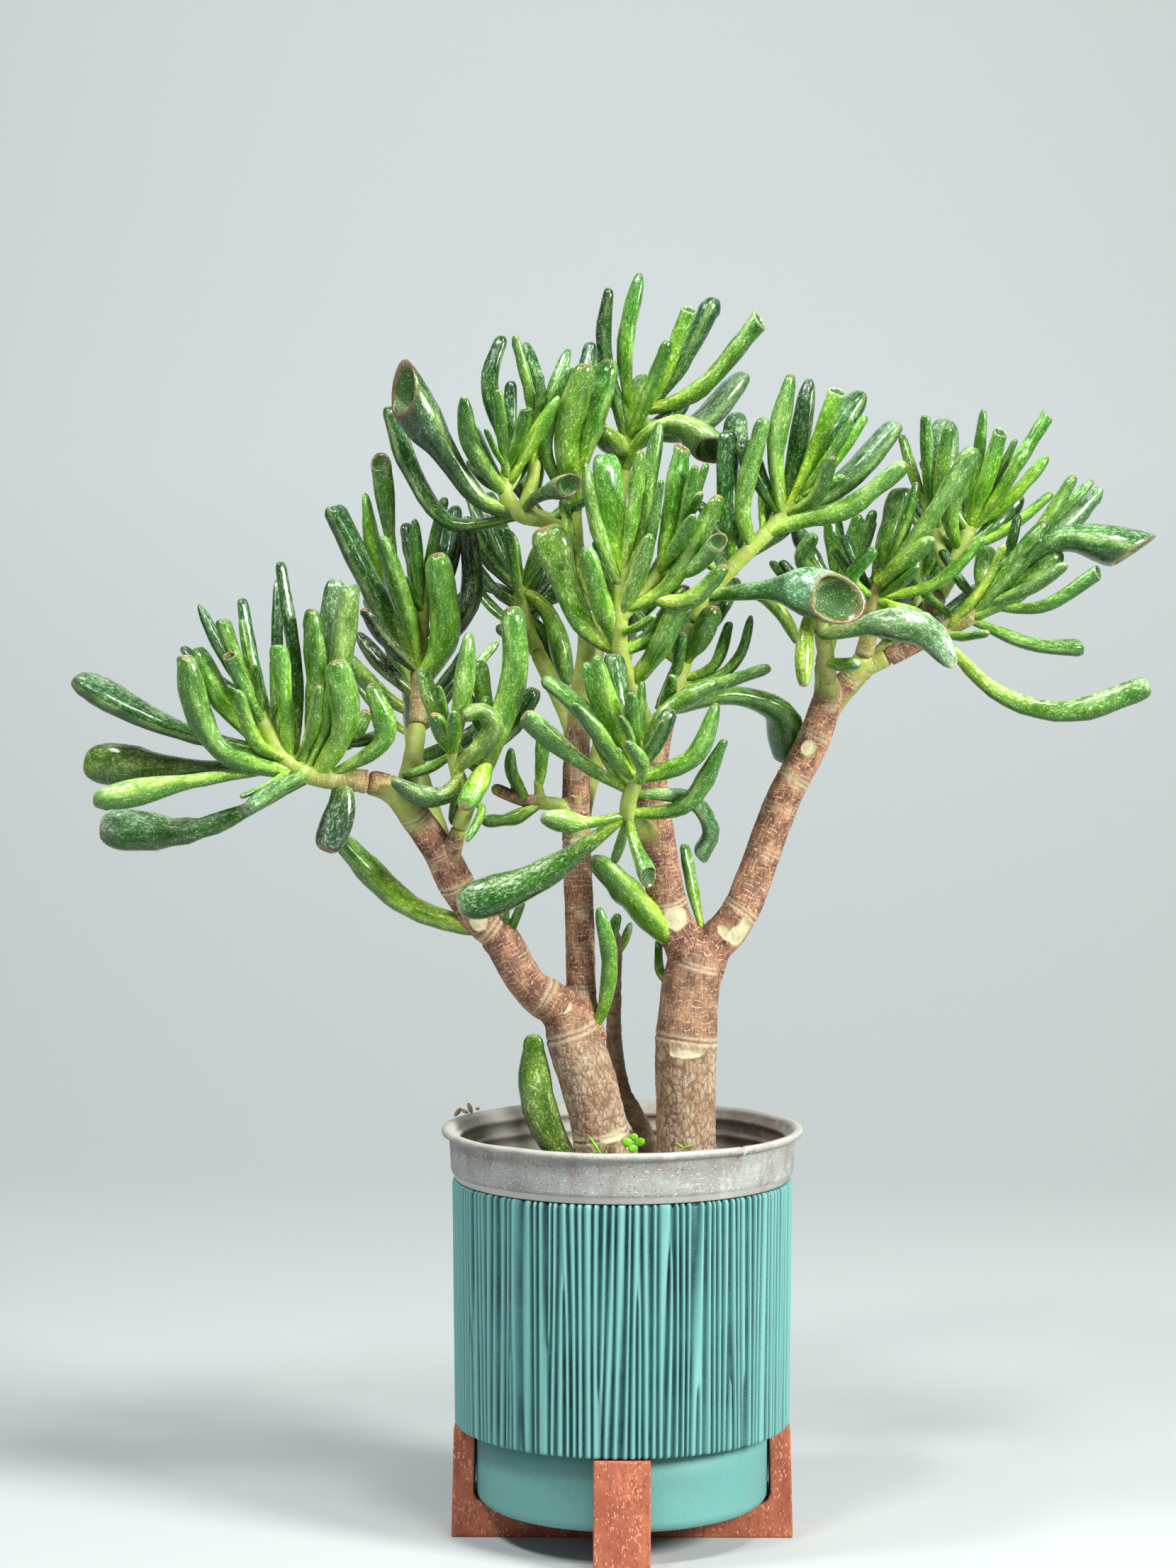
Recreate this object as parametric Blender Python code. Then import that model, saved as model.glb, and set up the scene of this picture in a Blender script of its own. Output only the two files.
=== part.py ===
"""Potted finger-leaved jade plant: two old trunks in a grey nursery pot, which hangs by its collar in a
ribbed planter on a crossed wooden stand.

Metres, +Z up. The origin is on the pot's axis, at the underside of the stand.
The plant is written down as it is seen from the front: a reading is (x, z) in millimetres on the upright
plane through the pot's axis, with a depth y of its own, and seen_at() puts it in space along the line of
sight. So a leaf may lean nearer or further and still look the same from the front.
"""

import math
from collections import namedtuple

import bmesh
import bpy
import numpy as np
from mathutils import Vector

MM = 0.001

# Driving sizes, in millimetres
PLANTER_R = 80.0
PLANTER_TOP = 168.7
SLEEVE_BASE = 53.0
SLEEVE_TAPER = 1.0
FOOT_R = 68.8
WALL = 3.2
RIBS = 96
RIB_DEPTH = 1.5

POT_RIM_R = 85.0
POT_TOP = 193.3
POT_COLLAR_R = 81.5
POT_NECK_R = 74.0
POT_BASE_R = 58.0
POT_BASE = 38.0
POT_WALL = 1.8
POT_SIDES = 36
DRAIN_R = 5.0
DRAIN_RING_R = 38.0
DRAINS = 5

SOIL_TOP = 159.0
HOLE_ROOM = 1.2

BOARD_W = 26.0
BOARD_H = 16.0
BOARD_END = 80.3
BOARD_T = 9.0
UPRIGHT_TOP = 52.5
UPRIGHT_LEAN = 1.3
INSIDE_CORNER = 5.0

CLEAR = 0.3

# The plant is read from a point this far in front of the axis and this high
EYE_BACK = 1631.7
EYE_UP = 437.8

WOOD_SPACING = 15.0
STEM_SPACING = 12.0
WOOD_SIDES = 8
STEM_SIDES = 5
THICK = 6.9
LEAF_SIDES = 4
KEPT = 0.57
BROAD = 12.0
LEAF_ROOT = 0.55
LEAF_CLEAR = 1.0
CLEARING_ROUNDS = 300

# A leaf's end: how far it swells to its own width, is pushed in and is cut off slanting
SWELL = 0.35
LONG_SWELL = 0.55
SPOON = 1.3
DENT = 0.3
CUP_TILT = 0.45
POINT_TILT = 0.25
CUP_LEAST = 6.0
# Thickness as a share of the width, at the root and at the end of a broad and of a slender leaf
ROOT_THICK = 0.9
BROAD_THICK = 0.55
SLENDER_THICK = 0.8
# Leaves made by rule: the turn from one to the next, and their slope from the lowest to the highest
TURN = math.radians(137.5)
LOW_SLOPE = 28.0
SLOPE_RANGE = 42.0

FRONT = Vector((0.0, -1.0, 0.25))
UP = Vector((0.0, -0.25, 1.0))

Leaf = namedtuple("Leaf", "root tip width by end lean face")
Shoot = namedtuple("Shoot", "carrier at path forks leaves filling")


def leaf(root, tip, width, *by, lean, end=None, face=None):
    """One leaf as read: root, tip and the points it bends by, its width, how much nearer (negative) or
    further its tip lies, its width at the cupped end, and where its flat side looks."""
    return Leaf(root, tip, width, by, end or 0.85 * width, lean, face)


# A stem is a list of (x, z, radius, y). A shoot names what carries it and the point where it takes over:
# up to that point its path belongs to the carrier.
LEFT_WOOD = [
    [(-8, 135.3, 14, -5), (-8, 165, 14, -5), (-9, 183, 13.6, -5), (-12.5, 200, 13.4, -5),
     (-18, 220, 13.5, -5), (-22, 232, 13.2, -5), (-25, 243, 11.5, -5), (-28, 252, 7, -5)],
    [(-22, 234, 9.5, -5), (-30, 248, 9.7, -6), (-36, 253, 10.2, -8), (-42, 257, 9.2, -10),
     (-50, 268, 9, -12), (-58, 283, 9, -15), (-66, 291, 9.4, -18), (-75, 302, 8.2, -20),
     (-80, 311, 8.5, -22), (-85, 321, 7.8, -24), (-91, 330, 7.6, -27), (-98, 340, 7.2, -30),
     (-105, 349, 6.8, -32), (-112, 353, 6.2, -35), (-120, 355, 5.9, -37)],
    [(-15, 232, 8.5, -4), (-18, 246, 7.7, -2), (-19.5, 260, 7.2, 0), (-20, 290, 7, 0),
     (-21.5, 330, 6.8, 0), (-21.5, 355, 6.6, -2), (-21, 375, 5.8, -3), (-20, 395, 4.9, -5),
     (-17, 415, 4.3, -8), (-17, 435, 3.9, -10)],
    [(-23, 337, 4.5, -2), (-30, 344, 3.6, -6), (-38, 345, 3.3, -9), (-48, 347, 3.2, -12),
     (-58, 351, 3.1, -14), (-61, 353, 2.8, -14)],
    [(-38, 345, 2.6, -9), (-40, 357, 2.2, -9)],
]
RIGHT_WOOD = [
    [(29.5, 135.3, 14.3, 0), (29.5, 165, 14.3, 0), (30, 195, 14.2, 0), (30, 229, 14.5, 0),
     (31, 250, 13.8, 0), (33, 264, 13.2, 0), (36, 276, 11.5, 0), (38, 284, 7, 0)],
    [(34, 264, 10.5, 0), (29, 279, 10, -2), (23, 290, 9.8, -3), (19, 308, 9, -5), (16, 330, 8.5, -8),
     (14, 350, 7.4, -10), (16, 370, 6.2, -12)],
    [(36, 262, 10, 0), (42, 277, 9.5, 0), (48, 284, 9.6, 1), (54, 292, 9, 1), (59, 302, 8.8, 2),
     (69, 330, 8.5, 3), (77, 350, 8.1, 4), (88, 372, 7.7, 5), (95, 390, 7.4, 6), (99, 397, 6.4, 7)],
]
NECK = [(20, 388, 5.3, -14), (25, 402, 4.8, -16), (30, 416, 4.2, -18), (34, 430, 4, -19)]
BACK_STEM = [(12, 135.3, 4.6, 30), (12, 170, 4.6, 30), (11, 187, 4.5, 30), (5, 200, 4.2, 30),
             (0, 209, 4.1, 30), (-3, 225, 3.8, 30), (-4, 240, 3.6, 30), (-3.2, 258, 3, 30),
             (-2.5, 275, 2.5, 30), (-2.3, 284, 2, 30)]

LEFT_LEAVES = [
    leaf((-66, 286), (-134, 330), 9.5, (-76, 288), (-103, 299), lean=22),
    leaf((-40, 246), (-65, 279), 4, lean=26),
    leaf((-14, 170), (-42, 236), 13, (-30, 182), (-40, 206), end=8, lean=-4, face=FRONT),
    leaf((-16, 236), (-11, 296), 7.5, (-9, 248), (-6, 272), lean=-12),
    leaf((-52, 286), (-47, 299), 4.5, lean=-8),
    leaf((-56, 286), (-54, 298), 3, lean=-14),
    leaf((-46, 348), (-52, 371), 6, lean=-6),
    leaf((-39, 354), (-37, 378), 6, lean=-2),
    leaf((-38, 345), (-66, 337), 7, (-52, 338), lean=-10),
    leaf((-48, 347), (-50, 360), 4, lean=5),
]
RIGHT_LEAVES = [
    leaf((29, 274), (-13, 320), 12, (18, 286), (4, 302), end=11, lean=-20),
    leaf((26, 258), (17, 283), 4, (18, 265), lean=18),
    leaf((35, 284), (29, 326), 5.5, (34, 300), lean=8),
]
BACK_LEAVES = [
    leaf((-4, 272), (-2, 293), 5, (-5, 282), lean=-3),
    leaf((-2, 276), (4, 289), 4, lean=3),
]

SHOOTS = {
    "shoot_low_left": Shoot(
        "left_trunk", 14, LEFT_WOOD[1] + [(-128, 356, 5.4, -39), (-140, 357, 5, -41),
                                          (-150, 360, 4.6, -42), (-160, 368, 4.1, -43),
                                          (-166, 379, 3.5, -44), (-171, 392, 2.8, -44)],
        [[(-138, 357, 4.4, -41), (-140, 366, 4, -40), (-141, 378, 3.2, -38)]],
        [
            leaf((-157, 360), (-204, 414), 10, (-185, 368), (-197, 385), end=11, lean=-12),
            leaf((-166, 371), (-199, 418), 9, (-187, 393), lean=6),
            leaf((-157, 365), (-180, 398), 6.5, (-172, 374), lean=-18),
            leaf((-156, 366), (-161, 419), 7, end=9, lean=-14),
            leaf((-163, 370), (-163, 413), 5, lean=12),
            leaf((-151, 361), (-142, 400), 6, (-146, 378), lean=-20),
            leaf((-148, 360), (-137, 402), 5, lean=-10),
            leaf((-145, 357), (-134, 412), 11, (-130, 382), lean=-16),
            leaf((-136, 355), (-118, 401), 8, (-112, 375), lean=-9),
            leaf((-140, 375), (-111, 379), 6, (-124, 374), lean=-6),
            leaf((-140, 372), (-119, 388), 6, (-127, 374), lean=8),
            leaf((-141, 370), (-128, 447), 10.5, end=10.5, lean=-3),
            leaf((-141, 375), (-134, 450), 10, lean=16),
            leaf((-145, 368), (-145, 436), 9, end=9, lean=-8),
            leaf((-153, 364), (-160, 458), 6, (-152, 400), lean=12),
            leaf((-157, 368), (-161, 450), 5, lean=22),
            leaf((-164, 378), (-178, 441), 6, lean=8),
            leaf((-168, 385), (-187, 431), 7.5, end=9, lean=-4),
            leaf((-169, 388), (-198, 438), 6, lean=18),
            leaf((-170, 390), (-206, 418), 5, lean=26),
            leaf((-167, 380), (-184, 414), 6, lean=-16),
            leaf((-169, 386), (-172, 410), 4, lean=-6),
            leaf((-170, 390), (-178, 431), 4, lean=2),
            leaf((-158, 366), (-256, 404), 9, (-212, 381), end=12, lean=14),
            leaf((-155, 362), (-252, 364), 11, (-200, 361), end=20, lean=34, face=FRONT),
            leaf((-153, 361), (-248, 347), 8, (-205, 355), end=11, lean=-6),
            leaf((-147, 357), (-245, 333), 10, (-198, 333), end=17, lean=12, face=FRONT),
            leaf((-150, 358), (-176, 342), 8, end=8.5, lean=-34),
            leaf((-152, 360), (-179, 348), 4, lean=-20),
            leaf((-130, 355), (-139, 323), 13, (-132, 342), end=16, lean=-8, face=FRONT),
        ],
        (6, 44)),
    "shoot_upright_left": Shoot(
        "left_trunk", 3, [(-102, 346, 6, -30), (-101, 354, 4.9, -21), (-98, 367, 4.5, -9),
                          (-96, 382, 4.3, 1), (-95, 397, 4.3, 6), (-95, 412, 4, 10), (-94, 428, 3.6, 11),
                          (-93, 443, 3, 12)],
        [],
        [
            leaf((-97, 408), (-135, 484), 9.5, (-113, 438), end=10, lean=4),
            leaf((-97, 424), (-120, 490), 6, (-112, 442), lean=14),
            leaf((-96, 424), (-113, 506), 5, (-105, 445), end=9, lean=-6, face=FRONT),
            leaf((-96, 410), (-112, 470), 8, (-100, 432), lean=-16),
            leaf((-94, 430), (-97, 478), 5.5, lean=-12),
            leaf((-94, 438), (-101, 476), 8, lean=12),
            leaf((-93, 430), (-83, 488), 5.5, (-89, 463), lean=-5),
            leaf((-94, 402), (-87, 462), 10.5, (-83, 425), lean=-18),
            leaf((-93, 440), (-86, 466), 4, lean=8),
            leaf((-93, 436), (-78, 484), 8, (-84, 452), lean=16),
            leaf((-93, 440), (-75, 476), 5, (-82, 450), lean=5),
            leaf((-94, 410), (-72, 476), 9, (-72, 438), lean=6),
            leaf((-95, 402), (-121, 436), 7, lean=-20),
            leaf((-95, 394), (-124, 425), 8, lean=12),
            leaf((-94, 436), (-101, 451), 4, lean=-10),
        ],
        (6, 42)),
    "shoot_inner_left": Shoot(
        "left_trunk", 2, [(-82, 314, 5.5, -22), (-79, 325, 4.2, -29), (-76, 334, 3.9, -33),
                          (-73, 343, 3.8, -36), (-69, 352, 3.7, -38), (-64, 362, 3.4, -39),
                          (-61, 372, 3, -38), (-61, 384, 2.6, -36)],
        [[(-72, 345, 3.7, -36), (-76, 355, 3.6, -38), (-79, 366, 3.2, -39), (-81, 380, 2.6, -38)]],
        [
            leaf((-80, 367), (-88, 387), 7, lean=-16),
            leaf((-79, 367), (-79, 388), 6, lean=-22),
            leaf((-77, 362), (-75, 386), 9, (-67, 370), (-60, 382), (-67, 389), lean=-12),
            leaf((-79, 364), (-103, 358), 5.5, lean=12),
            leaf((-76, 358), (-108, 356), 8, (-83, 349), (-95, 349), lean=-8),
            leaf((-64, 362), (-75, 343), 8, end=8, lean=-18),
            leaf((-63, 364), (-52, 437), 11, (-51, 405), lean=-8),
            leaf((-71, 348), (-73, 327), 5, (-66, 342), lean=-14),
            leaf((-75, 352), (-80, 335), 5, lean=10),
            leaf((-80, 368), (-94, 408), 7.5, lean=6),
            leaf((-79, 372), (-72, 425), 8, lean=-6),
            leaf((-61, 376), (-67, 412), 8, lean=10),
            leaf((-61, 378), (-64, 395), 6, lean=-8),
            leaf((-61, 379), (-58, 421), 5, (-68, 406), lean=14),
            leaf((-81, 376), (-86, 400), 4, lean=-8),
        ],
        (4, 36)),
    "shoot_low_middle": Shoot(
        "right_trunk", 2, [(15, 329, 6.5, -8), (10, 333, 4.8, -22), (6, 336, 4.2, -34), (3, 339, 3.9, -45),
                           (3, 346, 3.7, -52), (6, 355, 3.5, -58), (7, 365, 3.2, -62), (7, 375, 2.6, -64)],
        [],
        [
            leaf((2, 336), (-77, 296), 9.5, (-38, 311), end=15, lean=-14, face=FRONT),
            leaf((2, 339), (-37, 339), 6, (-18, 336), end=10, lean=-22),
            leaf((3, 337), (13, 309), 7.5, (6, 326), end=9, lean=-14),
            leaf((5, 341), (48, 375), 8, (30, 345), end=4, lean=-10),
            leaf((8, 357), (44, 392), 8, (33, 367), end=6, lean=-8),
            leaf((3, 352), (-46, 386), 6.5, (-22, 366), end=9, lean=-10),
            leaf((4, 356), (-37, 404), 7, (-18, 388), lean=8),
            leaf((4, 358), (-23, 392), 8, lean=-16),
            leaf((5, 360), (-12, 414), 7.5, lean=-5),
            leaf((6, 366), (-17, 411), 7, (-8, 384), lean=12),
            leaf((6, 368), (-4, 415), 8.5, end=10, lean=4),
            leaf((7, 368), (4, 397), 5.5, end=5.5, lean=-14),
            leaf((8, 366), (9, 402), 5, lean=-4),
            leaf((8, 356), (2, 374), 7, (9, 364), end=5, lean=-24),
            leaf((8, 360), (19, 384), 4, lean=-16),
            leaf((6, 370), (-1, 386), 4, lean=-10),
            leaf((7, 352), (36, 321), 7, (31, 347), (41, 333), end=9, lean=16),
            leaf((3, 336), (-4, 317), 5, lean=10),
            leaf((8, 363), (44, 402), 7, (20, 388), lean=10),
        ],
        (3, 34)),
    "shoot_top_left": Shoot(
        "left_trunk", 9, LEFT_WOOD[2] + [(-20, 455, 3.7, -12), (-24, 469, 3.7, -14), (-35, 477, 3.9, -16),
                                         (-47, 480, 4, -18), (-54, 488, 3.7, -20), (-54, 499, 3.2, -20),
                                         (-51, 512, 2.6, -20)],
        [[(-21, 459, 3.4, -12), (-22, 478, 3.2, -13), (-22, 496, 3, -14), (-20, 514, 2.4, -14)],
         [(-47, 480, 3.4, -18), (-43, 492, 3.2, -17), (-40, 506, 2.6, -16)]],
        [
            leaf((-49, 481), (-105, 541), 10, (-67, 487), (-86, 513), end=15, lean=-10, face=FRONT),
            leaf((-54, 492), (-74, 535), 8, (-70, 511), lean=-18),
            leaf((-54, 496), (-58, 538), 5.5, lean=-12),
            leaf((-53, 498), (-45, 529), 5, lean=-20),
            leaf((-52, 496), (-30, 535), 6, lean=-10),
            leaf((-53, 502), (-52, 542), 7, lean=4),
            leaf((-42, 500), (-50, 563), 5, (-42, 530), lean=-6),
            leaf((-41, 504), (-45, 560), 6, (-38, 532), lean=8),
            leaf((-53, 506), (-56, 563), 7.5, (-62, 540), lean=14),
            leaf((-40, 504), (-38, 545), 4, lean=-12),
            leaf((-41, 502), (-25, 557), 6, (-34, 532), lean=12),
            leaf((-24, 482), (-24, 549), 7, (-36, 512), lean=-8),
            leaf((-22, 486), (-17, 550), 11, (-26, 515), end=10, lean=-14),
            leaf((-22, 494), (-6, 552), 11, (-17, 515), lean=4),
            leaf((-20, 508), (-15, 560), 8, lean=15),
            leaf((-50, 482), (-24, 494), 8, (-40, 488), end=12, lean=-22, face=Vector((1.0, -0.6, 0.2))),
            leaf((-55, 498), (-64, 520), 3, lean=-22),
            leaf((-54, 490), (-72, 505), 5, lean=12),
            leaf((-44, 480), (-108, 530), 8.5, (-80, 476), (-99, 502), end=9, lean=20),
        ],
        (8, 44)),
    "shoot_back_left": Shoot(
        "left_trunk", 3, [(-21, 371, 5.5, -2), (-25, 384, 4.3, 12), (-33, 402, 4, 30), (-40, 416, 3.8, 41),
                          (-45, 428, 3.7, 48), (-47, 441, 3.4, 51), (-48, 455, 2.8, 53)],
        [],
        [
            leaf((-47, 438), (-54, 474), 5.5, lean=-14),
            leaf((-47, 444), (-64, 480), 6, lean=4),
            leaf((-47, 444), (-72, 490), 6, (-60, 462), lean=14),
            leaf((-47, 446), (-50, 470), 4, lean=-4),
            leaf((-47, 446), (-40, 465), 5, lean=-10),
            leaf((-47, 443), (-26, 400), 9, (-34, 432), lean=-10),
            leaf((-46, 434), (-32, 398), 9, (-36, 420), lean=10),
            leaf((-47, 440), (-68, 448), 6, lean=10),
            leaf((-45, 428), (-57, 427), 8, end=8, lean=-24),
        ],
        (12, 46)),
    "shoot_middle": Shoot(
        "right_trunk", 2, [(16, 365, 5.8, -12), (12, 378, 4.4, -20), (8, 390, 4.1, -28), (3, 403, 4, -36),
                           (-1, 417, 3.9, -42), (-1, 433, 3.7, -45), (0, 449, 3.5, -46),
                           (5, 463, 2.8, -46)],
        [[(-1, 432, 3.5, -45), (8, 442, 3.4, -45), (17, 452, 3.3, -44), (25, 464, 3, -43),
          (28, 476, 2.5, -42)]],
        [
            leaf((-1, 432), (13, 471), 7.5, lean=-12),
            leaf((4, 437), (45, 489), 8, (23, 449), lean=-14),
            leaf((-2, 417), (-17, 465), 9, lean=-10),
            leaf((0, 446), (-17, 504), 6.5, (-12, 475), lean=-6),
            leaf((1, 452), (-8, 508), 12, end=12.5, lean=8),
            leaf((2, 452), (8, 510), 6.5, lean=-9),
            leaf((6, 456), (17, 523), 6.5, lean=6),
            leaf((9, 446), (18, 496), 4.5, lean=-10),
            leaf((14, 450), (28, 511), 8, lean=-2),
            leaf((22, 462), (34, 503), 6, lean=-14),
            leaf((28, 474), (39, 504), 5, lean=-2),
            leaf((27, 476), (36, 490), 5, lean=-16),
            leaf((19, 455), (33, 480), 7, lean=-20),
            leaf((18, 453), (45, 468), 9, (33, 455), end=9, lean=-18, face=FRONT),
            leaf((10, 444), (48, 456), 7, (30, 440), lean=-14),
            leaf((3, 404), (29, 447), 9.5, (18, 420), lean=-12),
            leaf((0, 416), (24, 441), 8, (14, 424), lean=6),
            leaf((-1, 422), (15, 433), 5, lean=-16),
            leaf((-1, 416), (-36, 474), 8.5, (-18, 428), end=14, lean=2, face=FRONT),
            leaf((-1, 434), (-28, 487), 5, (-18, 448), lean=16),
        ],
        (2, 34)),
    "shoot_top": Shoot(
        "left_trunk", 6, [(-20.3, 384, 5, -4), (-17, 395, 4.2, 3), (-13, 410, 3.9, 8), (-11, 430, 3.7, 13),
                          (-8, 450, 3.6, 16), (-5, 468, 3.6, 18), (-2, 484, 3.6, 20), (0, 498, 3.7, 20),
                          (2, 511, 3.6, 20), (5, 522, 3.3, 20), (12, 532, 2.7, 20)],
        [],
        [
            leaf((2, 514), (-6, 585), 7, (-8, 556), lean=-6),
            leaf((4, 520), (8, 592), 7, (1, 556), lean=6),
            leaf((4, 517), (21, 561), 7, lean=-14),
            leaf((7, 523), (31, 575), 6, (17, 540), end=6.5, lean=-8),
            leaf((8, 526), (42, 580), 8, (24, 545), end=11, lean=8),
            leaf((9, 528), (64, 570), 8, (36, 538), end=9, lean=-4),
            leaf((7, 522), (56, 545), 12, (32, 520), end=13, lean=16),
            leaf((2, 508), (-11, 520), 11, end=12, lean=-22),
            leaf((1, 501), (45, 507), 8, (10, 516), (27, 521), end=13, lean=-16, face=UP),
        ],
        (8, 42)),
    "shoot_neck_right": Shoot(
        "right_trunk", 7, RIGHT_WOOD[1] + NECK,
        [],
        [
            leaf((29, 408), (43, 437), 9, lean=-10),
            leaf((30, 404), (50, 430), 6, (43, 410), lean=4),
            leaf((27, 400), (60, 433), 5.5, (44, 404), (55, 415), lean=-4),
            leaf((26, 398), (69, 409), 6, (44, 401), lean=-10),
            leaf((23, 390), (77, 366), 8.5, (50, 396), (74, 388), end=12, lean=38),
            leaf((19, 382), (22, 405), 7, lean=-14),
            leaf((24, 398), (28, 425), 6, lean=-14),
        ],
        (4, 40)),
    "shoot_top_right": Shoot(
        "shoot_neck_right", 3, NECK + [(39, 442, 3.9, -20), (50, 454, 3.9, -21), (58, 462, 3.8, -22),
                                       (67, 471, 3.8, -22), (76, 480, 3.5, -22), (83, 489, 2.8, -22)],
        [],
        [
            leaf((60, 465), (66, 525), 7.5, (56, 485), lean=-10),
            leaf((72, 478), (78, 545), 8.5, (71, 510), end=6, lean=-6),
            leaf((77, 482), (87, 543), 8, lean=10),
            leaf((78, 484), (100, 537), 6, end=6.5, lean=-8),
            leaf((80, 486), (111, 537), 11, (97, 514), lean=14),
            leaf((81, 486), (107, 525), 6, lean=-16),
            leaf((82, 488), (113, 526), 6, lean=4),
            leaf((76, 478), (98, 507), 7, (90, 488), lean=-20),
            leaf((78, 481), (128, 523), 11, (104, 496), lean=4),
            leaf((71, 473), (132, 504), 9, (86, 478), (106, 484), lean=-14),
            leaf((81, 486), (103, 498), 6, lean=-8),
            leaf((68, 472), (65, 500), 4, lean=12),
            leaf((52, 456), (49, 519), 9, (49, 486), lean=22),
            leaf((53, 458), (53, 527), 12, (51, 490), lean=40),
            leaf((38, 440), (104, 440), 9.5, (75, 445), end=21, lean=-34, face=FRONT),
            leaf((40, 442), (83, 420), 6, (60, 444), (73, 436), lean=6),
        ],
        (8, 44)),
    "shoot_front_right": Shoot(
        "right_trunk", 1, [(97, 395, 5.8, 4), (96, 404, 4.3, -8), (95, 414, 4, -19), (93, 426, 3.8, -28),
                           (90, 438, 3.3, -33)],
        [],
        [
            leaf((93, 424), (155, 409), 8, (120, 429), (141, 426), end=14, lean=-16, face=UP),
            leaf((91, 436), (85, 400), 8, (86, 424), lean=-14),
            leaf((94, 414), (110, 411), 6, lean=-22),
        ],
        (2, 30)),
    "shoot_right_inner": Shoot(
        "right_trunk", 2, [(103, 400, 6, 7), (109, 407, 4.8, 4), (113, 415, 4.4, 0), (116, 428, 4, -5),
                           (118, 441, 3.7, -8), (121, 454, 3, -10)],
        [],
        [
            leaf((116, 438), (118, 464), 7, (107, 450), lean=-10),
            leaf((120, 450), (130, 492), 11, end=12, lean=12),
            leaf((119, 446), (137, 495), 7, lean=-6),
            leaf((121, 450), (163, 511), 7, (143, 478), end=9, lean=-12),
            leaf((120, 448), (145, 469), 8, lean=-20),
            leaf((118, 438), (138, 456), 5, lean=-16),
            leaf((118, 438), (168, 469), 6, (146, 448), lean=-10),
            leaf((118, 438), (140, 434), 6, lean=-14),
        ],
        (4, 38)),
    "shoot_right_low": Shoot(
        "right_trunk", 12, RIGHT_WOOD[2] + [(106, 403, 5.3, 7), (114, 409, 4.8, 6), (125, 414, 4.7, 4),
                                            (137, 420, 4.6, 0), (150, 426, 4.3, -4), (163, 433, 4, -8),
                                            (173, 444, 3.7, -9), (182, 458, 3.2, -9)],
        [],
        [
            leaf((178, 454), (210, 498), 7, lean=-12),
            leaf((180, 456), (219, 496), 5.5, (195, 472), lean=6),
            leaf((179, 454), (222, 492), 12, lean=22),
            leaf((178, 452), (241, 461), 12, (206, 468), end=17, lean=-4, face=UP),
            leaf((163, 433), (197, 477), 8, lean=-18),
            leaf((153, 428), (178, 466), 5, lean=-12),
            leaf((164, 433), (204, 463), 10, (182, 444), lean=10),
            leaf((180, 456), (195, 468), 4, lean=-18),
            leaf((168, 436), (207, 457), 6, lean=-22),
            leaf((167, 434), (222, 453), 6, (196, 437), end=7, lean=-8),
            leaf((162, 431), (215, 418), 6, (190, 420), end=8, lean=10),
            leaf((149, 425), (171, 425), 5, lean=-20),
            leaf((145, 423), (246, 400), 8.5, (175, 397), (208, 388), end=12, lean=-16, face=FRONT),
        ],
        (6, 44)),
    "shoot_right_top": Shoot(
        "shoot_right_low", 2, [(134, 418, 4.4, 3), (141, 430, 4.3, 10), (148, 443, 4.2, 15),
                               (155, 456, 4, 19), (160, 469, 3.8, 22), (165, 482, 2.9, 24)],
        [[(153, 452, 3.6, 18), (148, 464, 3.4, 22), (144, 477, 2.8, 26)]],
        [
            leaf((144, 474), (141, 526), 6, lean=-8),
            leaf((145, 472), (142, 518), 7, (149, 494), lean=12),
            leaf((147, 470), (150, 524), 13, end=12, lean=24),
            leaf((146, 472), (152, 521), 6, lean=-14),
            leaf((157, 462), (161, 505), 8, (153, 480), lean=-18),
            leaf((162, 474), (168, 529), 5.5, lean=-4),
            leaf((163, 476), (176, 518), 7, lean=-14),
            leaf((164, 480), (183, 515), 4, lean=-8),
            leaf((163, 476), (189, 512), 5, lean=6),
            leaf((164, 478), (198, 526), 6.5, lean=14),
            leaf((163, 474), (187, 508), 6, lean=-12),
            leaf((161, 470), (198, 507), 6, lean=4),
            leaf((159, 465), (200, 490), 6, lean=-10),
            leaf((145, 474), (130, 517), 5, lean=4),
        ],
        (8, 44)),
    "shoot_rear_right": Shoot(
        "right_trunk", 2, [(94, 386, 6.5, 8), (94, 398, 4.4, 22), (94, 411, 4.1, 34), (97, 425, 3.8, 43),
                           (100, 440, 3.5, 48), (103, 455, 3, 50)],
        [],
        [
            leaf((101, 446), (110, 480), 7, lean=-10),
            leaf((100, 448), (97, 480), 7, lean=6),
            leaf((102, 450), (112, 478), 6, lean=14),
            leaf((102, 446), (117, 482), 6, lean=-6),
            leaf((100, 442), (90, 471), 7, (84, 458), lean=-12),
        ],
        (9, 44)),
    "shoot_far_left": Shoot(
        "left_trunk", 3, [(-68, 292, 6.5, -15), (-74, 303, 4.8, 6), (-82, 322, 4.4, 30),
                          (-91, 346, 4.1, 52), (-97, 368, 3.9, 66), (-99, 390, 3.8, 76),
                          (-100, 412, 3.4, 82), (-100, 432, 2.6, 86)],
        [],
        [],
        (14, 50)),
    "shoot_far_middle": Shoot(
        "left_trunk", 3, [(-21, 335, 6, 2), (-17, 350, 4.6, 20), (-10, 372, 4.3, 44), (-3, 398, 4, 62),
                          (2, 420, 3.8, 74), (5, 440, 3.5, 82), (6, 460, 2.7, 87)],
        [],
        [],
        (13, 50)),
    "shoot_far_right": Shoot(
        "right_trunk", 3, [(81, 356, 6.8, 6), (89, 371, 4.8, 26), (97, 388, 4.4, 44), (112, 406, 4.1, 58),
                           (128, 424, 3.8, 72), (138, 442, 3.5, 80), (142, 460, 2.7, 84)],
        [],
        [],
        (12, 50)),
}

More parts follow.
